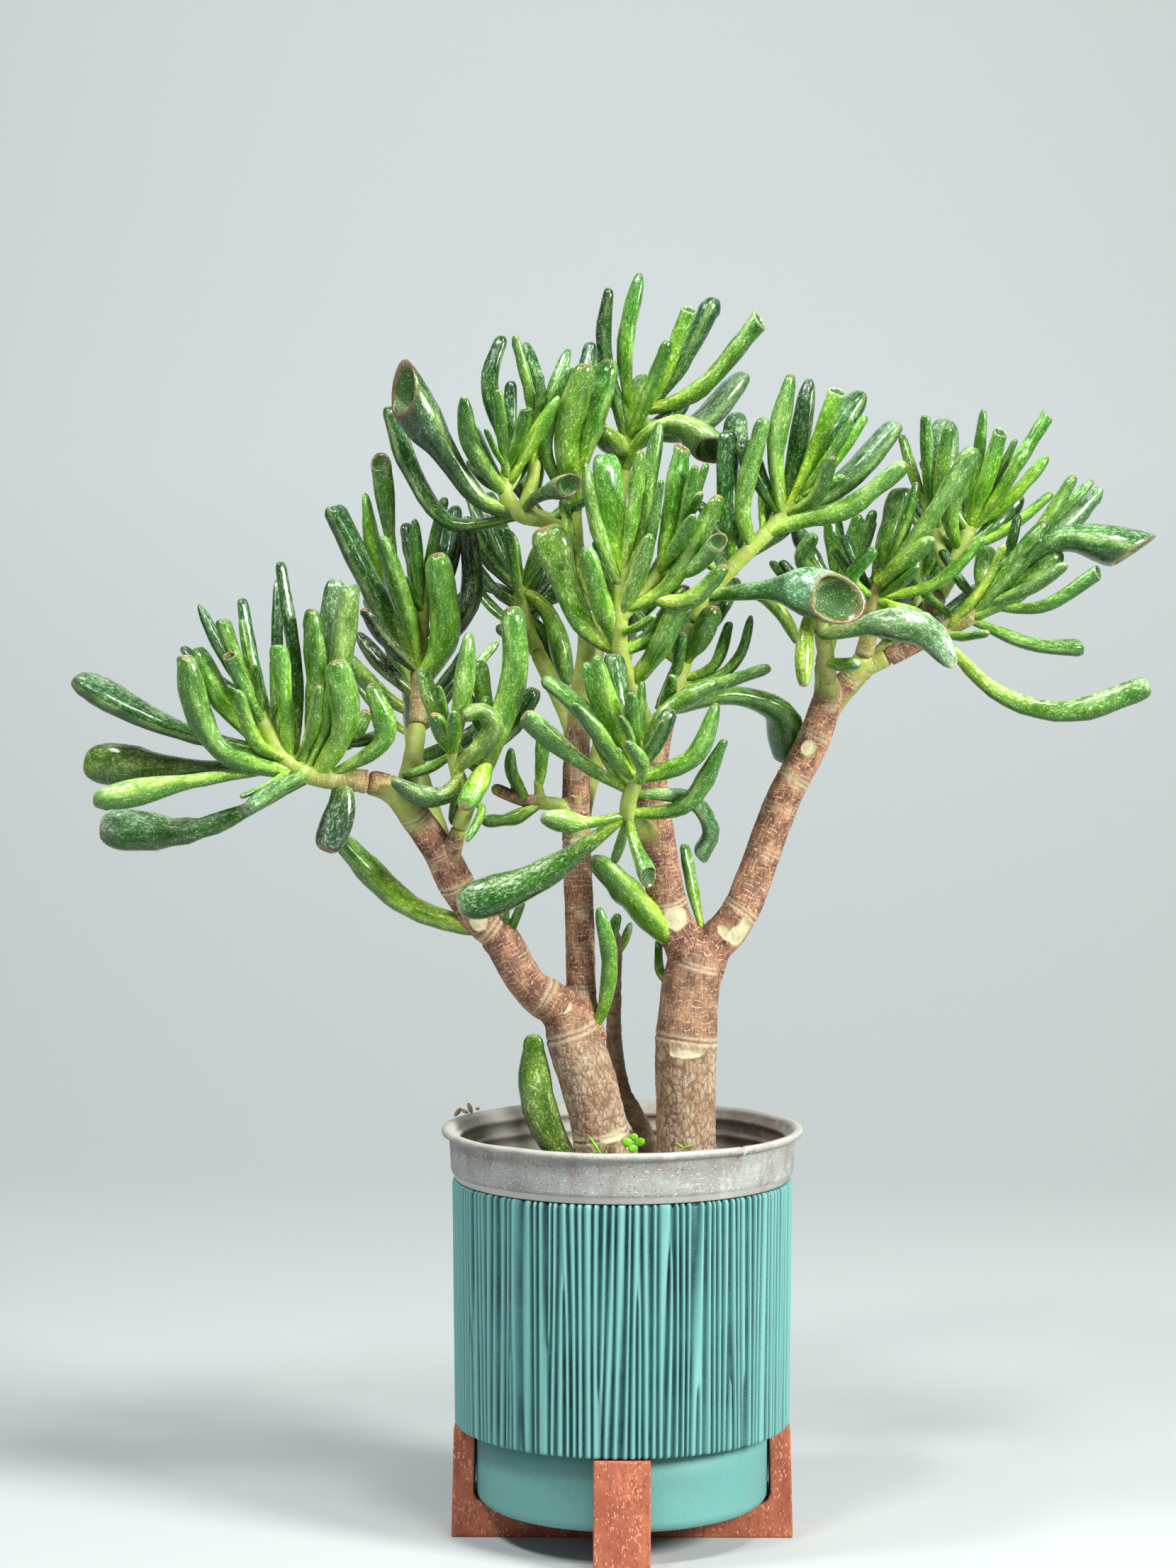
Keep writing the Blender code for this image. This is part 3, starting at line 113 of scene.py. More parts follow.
class Finish:
    """A Principled material that is put together step by step."""

    def __init__(self, name, **settings):
        self.material = bpy.data.materials.new(name)
        self.material.use_nodes = True
        self.tree = self.material.node_tree
        self.shader = self.tree.nodes["Principled BSDF"]
        for socket, value in settings.items():
            self.shader.inputs[socket.replace("_", " ")].default_value = value
        self.place = self.tree.nodes.new("ShaderNodeTexCoord").outputs["Object"]

    def add(self, kind, inputs, out=0, **options):
        node = self.tree.nodes.new("ShaderNode" + kind)
        for option, value in options.items():
            setattr(node, option, value)
        for name, value in inputs.items():
            socket = node.inputs[name]
            if isinstance(value, bpy.types.NodeSocket):
                self.tree.links.new(value, socket)
            else:
                socket.default_value = value
        return node.outputs[out]

    def read(self, name, out="Fac"):
        return self.add("Attribute", {}, out, attribute_name=name)

    def stretch(self, vector, scale):
        return self.add("Mapping", {"Vector": vector, "Scale": scale})

    def noise(self, scale, detail=3.0, vector=None, **more):
        return self.add("TexNoise", {"Vector": vector or self.place, "Scale": scale, "Detail": detail,
                                     **more})

    def cells(self, scale, vector=None, feature="DISTANCE_TO_EDGE", out="Distance"):
        return self.add("TexVoronoi", {"Vector": vector or self.place, "Scale": scale}, out, feature=feature)

    def span(self, value, low, high, to_low=0.0, to_high=1.0):
        """value from low to high becomes to_low to to_high, held at both ends."""
        return self.add("MapRange", {"Value": value, "From Min": low, "From Max": high,
                                     "To Min": to_low, "To Max": to_high})

    def math(self, operation, a, b):
        return self.add("Math", {0: a, 1: b}, operation=operation)

    def mix(self, share, a, b, blend="MIX"):
        if isinstance(a, tuple):
            a = (*a, 1)
        if isinstance(b, tuple):
            b = (*b, 1)
        return self.add("Mix", {0: share, 6: a, 7: b}, 2, data_type="RGBA", blend_type=blend)

    def layers(self, colour, *coats):
        """A colour with others laid over it, each by its share from 0 to 1."""
        for share, over in coats:
            colour = self.mix(share, colour, over)
        return colour

    def bump(self, height, strength, depth, under=None):
        inputs = {"Height": height, "Strength": strength, "Distance": depth * MM}
        if under:
            inputs["Normal"] = under
        return self.add("Bump", inputs)

    def done(self, colour, roughness=None, normal=None):
        for socket, value in (("Base Color", colour), ("Roughness", roughness), ("Normal", normal)):
            if value is not None:
                self.tree.links.new(value, self.shader.inputs[socket])
        return self.material


# %% [markdown]
# The floor is a pale sheet that sweeps up into the wall behind, as in a product studio: one profile line,
# extruded sideways. There is no edge between them. Its paint is a little darker low down and on the left, as
# painted shade, so that the light on it comes out even.

# %% Floor and wall
WALL_COLOUR = (0.60, 0.645, 0.648)
LOW_COLOUR = (0.475, 0.513, 0.513)
SHEET_SIDE = 4
SHEET_FRONT = 2.5
SWEEP_BACK = 1.0
SWEEP_R = 1.7
SWEEP_STEPS = 48
WALL_ABOVE = 3

paint = Finish("studio_paint", Roughness=0.9)
across = paint.add("SeparateXYZ", {"Vector": paint.place})
upwards = paint.add("SeparateXYZ", {"Vector": paint.place}, 2)
# Painted shade: the paint darkens low down, and on the next line towards the left.
wall_colour = paint.mix(paint.span(upwards, 0.0, 0.6), LOW_COLOUR, WALL_COLOUR)
wall_colour = paint.mix(paint.span(across, -1.0, 1.0, 0.18, 0), wall_colour, (0.40, 0.43, 0.45))
STUDIO_PAINT = paint.done(wall_colour)


def only_verts(geometry):
    return [part for part in geometry if isinstance(part, bmesh.types.BMVert)]


def sweep_sheet():
    bm = bmesh.new()
    front = bm.verts.new((-SHEET_SIDE, -SHEET_FRONT, 0))
    back = bm.verts.new((-SHEET_SIDE, SWEEP_BACK, 0))
    bm.edges.new((front, back))
    swept = bmesh.ops.spin(bm, geom=[back], axis=(1, 0, 0), cent=(-SHEET_SIDE, SWEEP_BACK, SWEEP_R),
                           angle=math.pi / 2, steps=SWEEP_STEPS)["geom_last"]
    raised = bmesh.ops.extrude_vert_indiv(bm, verts=only_verts(swept))["verts"]
    bmesh.ops.translate(bm, verts=raised, vec=(0, 0, WALL_ABOVE))
    grown = bmesh.ops.extrude_edge_only(bm, edges=list(bm.edges))["geom"]
    bmesh.ops.translate(bm, verts=only_verts(grown), vec=(2 * SHEET_SIDE, 0, 0))
    mesh = bpy.data.meshes.new("studio_sheet")
    for face in bm.faces:
        face.smooth = True
    bm.to_mesh(mesh)
    bm.free()
    mesh.materials.append(STUDIO_PAINT)
    sheet = bpy.data.objects.new("studio_sheet", mesh)
    bpy.context.scene.collection.objects.link(sheet)
    return sheet


sweep_sheet()

# %% [markdown]
# Every finished piece goes through the same few steps: from millimetres to metres, a mesh, its material, and
# the CAD nodes it stands for.

# %% Finishing a piece


def finished(bm, name, material, slot, *nodes):
    """Turns a bmesh drawn in millimetres into a piece that stands for CAD nodes."""
    bmesh.ops.scale(bm, vec=(MM, MM, MM), verts=bm.verts)
    for face in bm.faces:
        face.smooth = True
    mesh = bpy.data.meshes.new(name)
    bm.to_mesh(mesh)
    bm.free()
    mesh.materials.append(material)
    piece = bpy.data.objects.new(name, mesh)
    bpy.context.scene.collection.objects.link(piece)
    return placed_piece(piece, slot, *nodes)


def placed_piece(piece, slot, *nodes):
    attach(piece, "root")
    if nodes:
        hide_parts(*nodes)
    piece.data.update()
    print(piece.name, "has", sum(len(face.vertices) - 2 for face in piece.data.polygons), "triangles")
    return piece


def face_out(bm):
    bmesh.ops.recalc_face_normals(bm, faces=bm.faces)


def write_attribute(mesh, name, values):
    """A number, or a colour, for each vertex of the mesh."""
    values = np.asarray(values, np.float32)
    columns = 1 if values.ndim == 1 else values.shape[1]
    kind, field = {1: ("FLOAT", "value"), 3: ("FLOAT_VECTOR", "vector"), 4: ("FLOAT_COLOR", "color")}[columns]
    mesh.attributes.new(name, kind, "POINT").data.foreach_set(field, values.ravel())

# %% [markdown]
# ## The stand
# Two U-shaped boards cross under the planter, each cut to half its height at the crossing. A board is one
# outline, filled and extruded, with its long edges rounded by a bevel, as a router would do it. The wood is
# pressed from chips, so its reddish brown is full of small pale flecks that run along the grain.

# %% Chip wood
wood = Finish("flecked_wood", Roughness=0.58, Specular_IOR_Level=0.35)
wood_grain = wood.stretch(wood.place, (1.0, 1.0, 0.38))
wood_patches = wood.span(wood.noise(70, 3), 0.3, 0.7)
wood_shadows = wood.span(wood.noise(420, 3, wood_grain), 0.5, 0.66, 0, 0.65)
flecks = wood.span(wood.cells(950, wood_grain, "F1"), 0.16, 0.36, 0.85, 0)
flecks = wood.math("MULTIPLY", flecks, wood.span(wood.noise(210, 2, wood_grain), 0.42, 0.58))
glints = wood.span(wood.cells(1300, wood_grain, "F1"), 0.10, 0.24, 0.9, 0)
glints = wood.math("MULTIPLY", glints, wood.span(wood.noise(330, 2), 0.52, 0.60))
dark_pores = wood.span(wood.cells(380, None, "F1"), 0.08, 0.16, 0.85, 0)
wood_colour = wood.layers((0.30, 0.078, 0.041), (wood_patches, (0.455, 0.138, 0.072)),
                          (wood_shadows, (0.22, 0.06, 0.035)), (flecks, (0.86, 0.42, 0.24)),
                          (glints, (1.0, 0.74, 0.52)), (dark_pores, (0.08, 0.025, 0.02)))
wood_normal = wood.bump(wood.math("ADD", flecks, wood.noise(500)), 0.3, 0.4)
FLECKED_WOOD = wood.done(wood_colour, None, wood_normal)

# %% The two boards
BOARD_W = 26.0
BOARD_H = 16.0
BOARD_END = 80.3
BOARD_T = 10.6
UPRIGHT_TOP = 52.5
UPRIGHT_LEAN = 1.3
INSIDE_CORNER = 5.0
CLEAR = 0.3
BOARD_EDGE = 0.9
UPRIGHT_WAIST = 0.8
SHARP = 0.5


def stand_board(name, low, high, turn):
    """The outline runs round the U; at the crossing it fills only low to high."""
    inner = BOARD_END - BOARD_T
    notch = BOARD_W / 2 + CLEAR
    half = [(notch, high), (notch, BOARD_H), (inner - INSIDE_CORNER, BOARD_H),
            (inner - 0.3 * INSIDE_CORNER, BOARD_H + 0.3 * INSIDE_CORNER), (inner, BOARD_H + INSIDE_CORNER),
            (inner - UPRIGHT_WAIST, UPRIGHT_TOP), (BOARD_END - UPRIGHT_LEAN, UPRIGHT_TOP), (BOARD_END, 0),
            (notch, 0), (notch, low)]
    half = [point for k, point in enumerate(half) if point != half[k - 1]]
    outline = half + [(-x, z) for x, z in reversed(half)]
    bm = bmesh.new()
    face = bm.faces.new([bm.verts.new((x, -BOARD_W / 2, z)) for x, z in outline])
    grown = bmesh.ops.extrude_face_region(bm, geom=[face])["geom"]
    bmesh.ops.translate(bm, verts=only_verts(grown), vec=(0, BOARD_W, 0))
    face_out(bm)
    sharp = [edge for edge in bm.edges if edge.calc_face_angle(0) > SHARP]
    bmesh.ops.bevel(bm, geom=sharp, offset=BOARD_EDGE, segments=3, profile=0.5, affect="EDGES", material=-1)
    bmesh.ops.triangulate(bm, faces=[face for face in bm.faces if len(face.verts) > 4])
    bmesh.ops.rotate(bm, verts=bm.verts, cent=(0, 0, 0), matrix=Matrix.Rotation(turn, 3, "Z"))
    piece = finished(bm, name, FLECKED_WOOD, "stand", "stand_" + name)
    for polygon in piece.data.polygons:
        polygon.use_smooth = False
    return piece


stand_board("board_wide", 0, (BOARD_H - CLEAR) / 2, 0)
stand_board("board_deep", (BOARD_H + CLEAR) / 2, BOARD_H, math.pi / 2)

# %% [markdown]
# ## The planter
# The sleeve is cast with upright ribs that wander and fork like the grain of a plank. A formula gives that:
# the ribs are the waves of an angle, and each fork is a point round which that angle turns once, so one rib
# more leaves it upwards than came in. The wall is a ring extruded row by row, and every vertex is then moved
# in or out by the wave at its place.

# %% Rib pattern
RIBS = 134
RIB_DEPTH = 2.0
FORKS = 46
FORK_LENGTH = 12.0
PLANTER_R = 80.0
SLEEVE_BASE = 53.0
PLANTER_TOP = 168.7
RIB_SAMPLES = 8
RIB_WANDER = 4.4
RIB_SHARPNESS = 0.75
WIDE_RIBS = 17
WIDE_PUSH = 1.9

rib_draw = random.Random(7)
FORK_PLACES = [(rib_draw.uniform(0, math.tau), rib_draw.uniform(SLEEVE_BASE - 10, PLANTER_TOP + 20),
                1 if k % 2 else -1) for k in range(FORKS)]
WIDE_PLACES = [(rib_draw.uniform(0, math.tau), rib_draw.uniform(0.022, 0.04)) for _ in range(WIDE_RIBS)]


def rib_phase(turn, height):
    """The angle whose waves are the ribs, at a turn round the sleeve and a height."""
    phase = RIBS * turn
    for fork_turn, fork_height, side in FORK_PLACES:
        here = (turn - fork_turn + 1j * (height - fork_height) / (PLANTER_R * FORK_LENGTH)) / 2
        phase = phase + side * np.angle(np.sin(here))
    for middle, reach in WIDE_PLACES:
        off = (turn - middle + math.pi) % math.tau - math.pi
        phase = phase - WIDE_PUSH * np.tanh(off / reach) * np.exp(-((off / (3.2 * reach)) ** 2))
    return phase


def rib_wander(turn, height):
    """Makes neighbouring ribs wide or narrow, slowly changing with height."""
    places = np.column_stack([np.cos(turn), np.sin(turn), height])
    broad = [noise.noise(Vector((8 * x, 8 * y, z / 300))) for x, y, z in places]
    fine = [noise.noise(Vector((19 * x, 19 * y, 5 + z / 210))) for x, y, z in places]
    return np.array(broad) + 0.6 * np.array(fine)


def rib_wave(turn, height):
    """1 on the back of a rib and 0 in the groove."""
    wander = rib_wander(turn, height)
    wave = (0.5 + 0.5 * np.cos(rib_phase(turn, height) + RIB_WANDER * wander)) ** RIB_SHARPNESS
    return 1 - (1 - wave) * np.clip(0.88 - 0.4 * wander, 0.6, 1)


# %% [markdown]
# The teal is a matt cast material. The grooves are painted dark, as painted shade, so the rib wave is also
# kept as an attribute on the vertices, and the colour reads it there. A fine speckle keeps it from looking
# painted.

# %% Matt teal
teal = Finish("matt_teal", Roughness=0.55, Specular_IOR_Level=0.4)
rib = teal.read("rib")
# Painted shade: the colour runs from near black in the grooves to teal on the backs of the ribs.
teal_colour = teal.layers(
    (0.001, 0.040, 0.056), (teal.span(rib, 0.34, 0.98), (0.150, 0.380, 0.352)),
    (teal.span(teal.noise(35), 0.35, 0.7, 0, 0.35), (0.09, 0.33, 0.30)),
    (teal.span(teal.noise(1800, 1), 0.62, 0.75, 0, 0.25), (0.42, 0.68, 0.62)))
MATT_TEAL = teal.done(teal_colour, None, teal.bump(teal.noise(1300, 2), 0.12, 0.3))

# %% The ribbed sleeve
WALL = 3.2
ROW = 2.6
LIP = 1.7
SLEEVE_TAPER = 0.0125
NOTCH_DEPTH = 1.6
NOTCH_REACH = 4

count = round((PLANTER_TOP - SLEEVE_BASE - 2 * LIP) / ROW)
rows = [(SLEEVE_BASE + 0.2, -0.8), (SLEEVE_BASE + 0.9, -0.1)]
rows += [(SLEEVE_BASE + LIP + k * ROW, 0.0) for k in range(count + 1)]
rows += [(PLANTER_TOP - 1.0, -0.15), (PLANTER_TOP - 0.4, -0.5), (PLANTER_TOP - 0.05, -1.1)]
inside = [(PLANTER_TOP - 0.05, -WALL), (SLEEVE_BASE + 0.2, -WALL)]


def stacked_rings(bm, sides, count, closed):
    """A tube of unit radius whose rings lie at z = 0, 1, 2 and so on: the vertices of each ring, the edges of
    its two ends, and the faces that close them."""
    rings = [bmesh.ops.create_circle(bm, segments=sides, radius=1)["verts"]]
    first = edges = list(dict.fromkeys(edge for vert in rings[0] for edge in vert.link_edges))
    ends = bmesh.ops.contextual_create(bm, geom=edges)["faces"] if closed else []
    for _ in range(count - 1):
        grown = bmesh.ops.extrude_edge_only(bm, edges=edges)["geom"]
        edges = [part for part in grown if isinstance(part, bmesh.types.BMEdge)]
        rings.append(only_verts(grown))
        bmesh.ops.translate(bm, verts=rings[-1], vec=(0, 0, 1))
    if closed:
        ends += bmesh.ops.contextual_create(bm, geom=edges)["faces"]
    return rings, first + edges, ends


def ribbed_sleeve():
    bm = bmesh.new()
    _, open_edges, _ = stacked_rings(bm, RIBS * RIB_SAMPLES, len(rows + inside), False)
    bmesh.ops.bridge_loops(bm, edges=open_edges)
    co = np.array([vert.co for vert in bm.verts])
    level = np.round(co[:, 2]).astype(int)
    turn = np.arctan2(co[:, 1], co[:, 0])
    table = np.array(rows + inside)
    height, inset = table[level, 0], table[level, 1]
    wave = rib_wave(turn, height)
    outer = level < len(rows)
    narrow = 1 - (PLANTER_TOP - height) / (PLANTER_TOP - SLEEVE_BASE) * SLEEVE_TAPER
    radius = PLANTER_R * narrow + inset - np.where(outer, RIB_DEPTH * (1 - wave), 0)
    near_top = np.clip((height - PLANTER_TOP + NOTCH_REACH) / NOTCH_REACH, 0, 1) * outer
    height = height - near_top * NOTCH_DEPTH * (1 - wave) ** 2
    for vert, r, z, t in zip(bm.verts, radius, height, turn):
        vert.co = (r * math.cos(t), r * math.sin(t), z)
    face_out(bm)
    sleeve = finished(bm, "ribbed_sleeve", MATT_TEAL, "planter", "planter")
    # The rib wave sets the painted shade in the grooves; the inside wall takes 0.6 all over.
    write_attribute(sleeve.data, "rib", np.where(outer, wave, 0.6))


ribbed_sleeve()

# %% [markdown]
# Below the sleeve the planter goes on as a smooth foot with a rounded lower edge. A turned shape is a profile
# line, spun once round the axis.

# %% Turning, and the smooth foot
FOOT_R = 68.8
FOOT_EDGE = 5.0
FOOT_SHADE = 0.84
TURN_STEPS = 160


def turned(profile, steps=TURN_STEPS):
    """A closed profile of (radius, z), spun round the pot's axis."""
    bm = bmesh.new()
    verts = [bm.verts.new((radius, 0, z)) for radius, z in profile]
    edges = [bm.edges.new((a, b)) for a, b in zip(verts, verts[1:] + verts[:1])]
    bmesh.ops.spin(bm, geom=verts + edges, axis=(0, 0, 1), cent=(0, 0, 0), angle=math.tau, steps=steps,
                   use_merge=True)
    bmesh.ops.remove_doubles(bm, verts=bm.verts, dist=0.001)
    face_out(bm)
    return bm


def rounded(centre, radius, start, end, count=6):
    """Points on an arc, by angles in degrees."""
    return [(centre[0] + radius * math.cos(math.radians(a)), centre[1] + radius * math.sin(math.radians(a)))
            for a in np.linspace(start, end, count)]


foot_base = BOARD_H + CLEAR
foot_profile = [(0, foot_base)] + rounded((FOOT_R - FOOT_EDGE, foot_base + FOOT_EDGE), FOOT_EDGE, -90, 0)
foot_profile += [(FOOT_R + 0.2, 40), (FOOT_R + 0.4, SLEEVE_BASE + 3), (FOOT_R - WALL, SLEEVE_BASE + 3),
                 (FOOT_R - WALL, foot_base + WALL + 3), (FOOT_R - WALL - 3, foot_base + WALL),
                 (0, foot_base + WALL)]
foot = finished(turned(foot_profile), "planter_foot", MATT_TEAL, "planter", "planter")
write_attribute(foot.data, "rib", np.full(len(foot.data.vertices), FOOT_SHADE))

# %% [markdown]
# ## The nursery pot
# A thin grey pot of old plastic, gone dull and stained, with pale scratches and specks all over. Its collar
# hangs on the planter's rim, its lip is rolled outwards, and two steps run round the inside. One profile
# holds all of that. A little waviness keeps the lip from being a perfect circle, and a small crack cuts it.

# %% Weathered plastic
plastic = Finish("weathered_plastic", Roughness=0.6)
streaks = plastic.noise(120, 6, plastic.stretch(plastic.place, (1, 1, 0.4)))
specks = plastic.math("MULTIPLY", plastic.span(plastic.noise(1100, 2), 0.62, 0.67), 0.7)
grit = plastic.math("MULTIPLY", plastic.span(plastic.noise(1000, 2), 0.635, 0.68), 0.85)
scratches = plastic.noise(300, 2, plastic.stretch(plastic.place, (0.2, 0.2, 2.4)))
# Darker under the lip, above the ledge and inside on the right, and painted shade in a line under each inner
# ridge.
stain_and_shade = plastic.math("MULTIPLY", plastic.read("stain_and_shade"), plastic.span(plastic.noise(120, 5), 0.36, 0.58))
grey = plastic.layers(
    (0.228, 0.226, 0.212), (plastic.span(plastic.noise(45, 6), 0.38, 0.62), (0.300, 0.320, 0.302)),
    (plastic.span(streaks, 0.54, 0.66, 0, 0.55), (0.19, 0.155, 0.135)),
    (plastic.span(streaks, 0.33, 0.43, 0.35, 0), (0.50, 0.54, 0.50)),
    (specks, (0.66, 0.65, 0.58)), (grit, (0.11, 0.075, 0.06)),
    (plastic.span(scratches, 0.64, 0.69, 0, 0.25), (0.60, 0.62, 0.56)),
    # Painted light: lighter inside on the left, and a painted highlight on the rolled lip.
    (stain_and_shade, (0.22, 0.135, 0.10)), (plastic.read("painted_light"), (0.56, 0.54, 0.49)))
WEATHERED_PLASTIC = plastic.done(grey, None, plastic.bump(plastic.noise(420, 4), 0.3, 0.35))

# %% The pot itself
POT_RIM_R = 85.0
POT_TOP = 193.3
POT_COLLAR_R = 81.5
POT_NECK_R = 74.0
POT_BASE_R = 58.0
POT_BASE = 38.0
POT_WALL = 1.8
POT_STEPS = 240
CRACK_AT = math.radians(-49.6)
CRACK_DEEP = 2.6
CRACK_WIDE = 0.5
CRACK_REACH = 2.4
WAVY_DOWN_TO = 12
LIP_SWAY = 0.7
LIP_RISE = 0.5
INNER_RIDGES = (16.8, 9.2)

ledge = PLANTER_TOP + CLEAR
pot_profile = [
    (0, POT_BASE), (POT_BASE_R - 2, POT_BASE), (POT_BASE_R, POT_BASE + 2), (POT_NECK_R - 0.3, ledge - 1),
    (POT_NECK_R + 0.6, ledge), (POT_COLLAR_R - 3.2, ledge), (POT_COLLAR_R - 2.6, ledge + 0.5),
    (POT_COLLAR_R - 2.3, ledge + 2.6), (POT_COLLAR_R - 1.2, ledge + 3.5), (POT_COLLAR_R - 0.9, ledge + 5),
    (POT_COLLAR_R - 0.5, ledge + 12), (POT_COLLAR_R, POT_TOP - 5.2), (POT_COLLAR_R + 0.6, POT_TOP - 4.2),
]
pot_profile += rounded((POT_RIM_R - 1.7, POT_TOP - 2.2), 1.7, -70, 110, 8)
pot_profile += [
    (POT_RIM_R - 3.0, POT_TOP - 0.5), (POT_COLLAR_R - POT_WALL, POT_TOP - 2.4),
    *[(POT_COLLAR_R - inwards, ledge + up)
      for inwards, up in ((2.1, 19.8), (4.3, 19.1), (4.4, 17.5), (3.0, 16.8), (3.3, 12.2), (5.6, 11.5),
                          (5.7, 9.9), (4.4, 9.2), (5.0, 5), (7.0, 4.2))],
    (POT_NECK_R - POT_WALL, ledge + 1.5),
    (POT_BASE_R - POT_WALL, POT_BASE + POT_WALL), (0, POT_BASE + POT_WALL),
]


def nursery_pot():
    bm = turned(pot_profile, POT_STEPS)
    near_crack = {}
    for vert in bm.verts:
        turn, radius = math.atan2(vert.co.y, vert.co.x), vert.co.xy.length
        high = min(max((vert.co.z - POT_TOP + WAVY_DOWN_TO) / WAVY_DOWN_TO, 0), 1)
        if radius > POT_COLLAR_R - 6:
            x, y = math.cos(turn), math.sin(turn)
            radius += LIP_SWAY * noise.noise(Vector((2.2 * x, 2.2 * y, 3))) * high
            vert.co.z += LIP_RISE * high * noise.noise(Vector((3 * x, 3 * y, 9)))
        if vert.co.z > POT_TOP - 6 and abs((turn - CRACK_AT) * radius) < CRACK_REACH:
            near_crack.setdefault(round(turn, 3), []).append(vert)
        vert.co.x, vert.co.y = radius * math.cos(turn), radius * math.sin(turn)
    columns = sorted(near_crack, key=lambda turn: abs(turn - CRACK_AT))[:2]
    for side, turn in zip((-1, 1), sorted(columns)):
        for vert in near_crack[turn]:
            radius = vert.co.xy.length
            at = CRACK_AT + side * CRACK_WIDE / 2 / radius
            vert.co.x, vert.co.y = radius * math.cos(at), radius * math.sin(at)
            if side > 0:
                vert.co.z -= CRACK_DEEP * min(max((vert.co.z - POT_TOP + 5) / 4, 0), 1)
    return finished(bm, "nursery_pot", WEATHERED_PLASTIC, "grow_pot", "grow_pot")


def paint_pot_stain_shade_and_light(pot):
    """Darker under the lip, above the ledge and inside on the right, with painted shade under the inner
    ridges;
    painted light makes the inside light on the left and a painted highlight makes the lip light.
    """
    x, y, z = (np.array([vert.co for vert in pot.data.vertices]) / MM).T
    radius, turn = np.hypot(x, y), np.arctan2(y, x)
    inner = radius < POT_COLLAR_R - 1.5
    under_lip = 0.35 * np.clip(1 - np.abs(z - (POT_TOP - 5)) / 5, 0, 1)
    above_ledge = 0.75 * np.clip((ledge + 5 - z) / 5, 0, 1)
    right = 0.5 + 0.5 * np.cos(turn - math.radians(25))
    # Painted shade: a dark line under each inner ridge.
    under_ridge = sum(np.exp(-(((z - ledge - up) / 0.9) ** 2)) for up in INNER_RIDGES)
    lip = np.clip(1 - np.abs(z - POT_TOP + 0.7) / 1.6, 0, 1) * (radius > POT_RIM_R - 3.5)
    # Painted light: the inside is lighter on the left, less so under the ridges, and the lip is lighter as a
    # painted highlight.
    painted_light_inside = 0.8 * (1 - right) ** 0.7 * (1 - 0.8 * under_ridge)
    write_attribute(pot.data, "stain_and_shade",
                    np.where(inner, 0.65 * right + 0.45 * under_ridge, under_lip + above_ledge))
    write_attribute(pot.data, "painted_light", np.where(inner, painted_light_inside, 0.55 * lip))


paint_pot_stain_shade_and_light(nursery_pot())

# %% [markdown]
# ## The compost
# Dry crumbly compost fills the pot. A turned mound, roughened by noise, is the bed, and a few hundred crumbs
# and chips of bark lie on it: copies of one small many-sided ball, each squashed and turned by a seeded draw.

# %% Compost
SOIL_TOP = 159.0
MOUND = 3
MOUND_ROWS = 28
CRUMBS = 900
TRUNK_FEET = ((-8.0, -5.0, 16.0), (30.0, 0.0, 16.5), (12.2, 30.0, 6.0))

dirt = Finish("dry_compost", Roughness=0.95)
dirt_colour = dirt.layers((0.035, 0.022, 0.016), (dirt.noise(300, 5), (0.17, 0.115, 0.075)),
                          (dirt.span(dirt.noise(140, 3), 0.6, 0.7, 0, 0.6), (0.33, 0.27, 0.2)))
DRY_COMPOST = dirt.done(dirt_colour, None, dirt.bump(dirt.noise(700, 4), 0.8, 0.8))


def compost():
    floor = POT_BASE + POT_WALL + CLEAR
    low = POT_BASE_R - POT_WALL - CLEAR - 0.2
    slope = (POT_NECK_R - POT_BASE_R) / (ledge - POT_BASE)
    high = low + slope * (SOIL_TOP - MOUND - floor)
    top = [(high - k * high / MOUND_ROWS, SOIL_TOP - MOUND * (1 - k / MOUND_ROWS) ** 2)
           for k in range(MOUND_ROWS + 1)]
    bm = turned([(0, floor), (low, floor)] + top, 120)
    for vert in bm.verts:
        if vert.co.z > SOIL_TOP - 4 and vert.co.xy.length < high - 1:
            vert.co.z += 1.6 * noise.noise(vert.co / 9) + 0.8 * noise.noise(vert.co / 3)
    finished(bm, "compost_bed", DRY_COMPOST, "soil", "soil")

    draw = random.Random(21)
    ball = bpy.data.meshes.new("crumb")
    shape = bmesh.new()
    bmesh.ops.create_icosphere(shape, subdivisions=1, radius=1)
    shape.to_mesh(ball)
    shape.free()
    bm = bmesh.new()
    for _ in range(CRUMBS):
        turn, reach = draw.uniform(0, math.tau), (high - 2) * math.sqrt(draw.random())
        x, y = reach * math.cos(turn), reach * math.sin(turn)
        size = draw.uniform(0.5, 1.7)
        if any(math.hypot(x - a, y - b) < r + size for a, b, r in TRUNK_FEET):
            continue
        start = len(bm.verts)
        bm.from_mesh(ball)
        bm.verts.ensure_lookup_table()
        flat, long = draw.uniform(0.4, 0.9), draw.uniform(0.8, 2.0)
        lie = draw.uniform(0, math.tau)
        for vert in bm.verts[start:]:
            a, b = vert.co.x * size * long, vert.co.y * size
            vert.co = (x + a * math.cos(lie) - b * math.sin(lie), y + a * math.sin(lie) + b * math.cos(lie),
                       SOIL_TOP + 0.6 + vert.co.z * size * flat)
    bpy.data.meshes.remove(ball)
    finished(bm, "compost_crumbs", DRY_COMPOST, "soil")


compost()

# %% [markdown]
# Three seedlings have come up between the trunks, one with the round leaflets of a clover, and some dry bits
# lie on the rim. All are squashed balls.

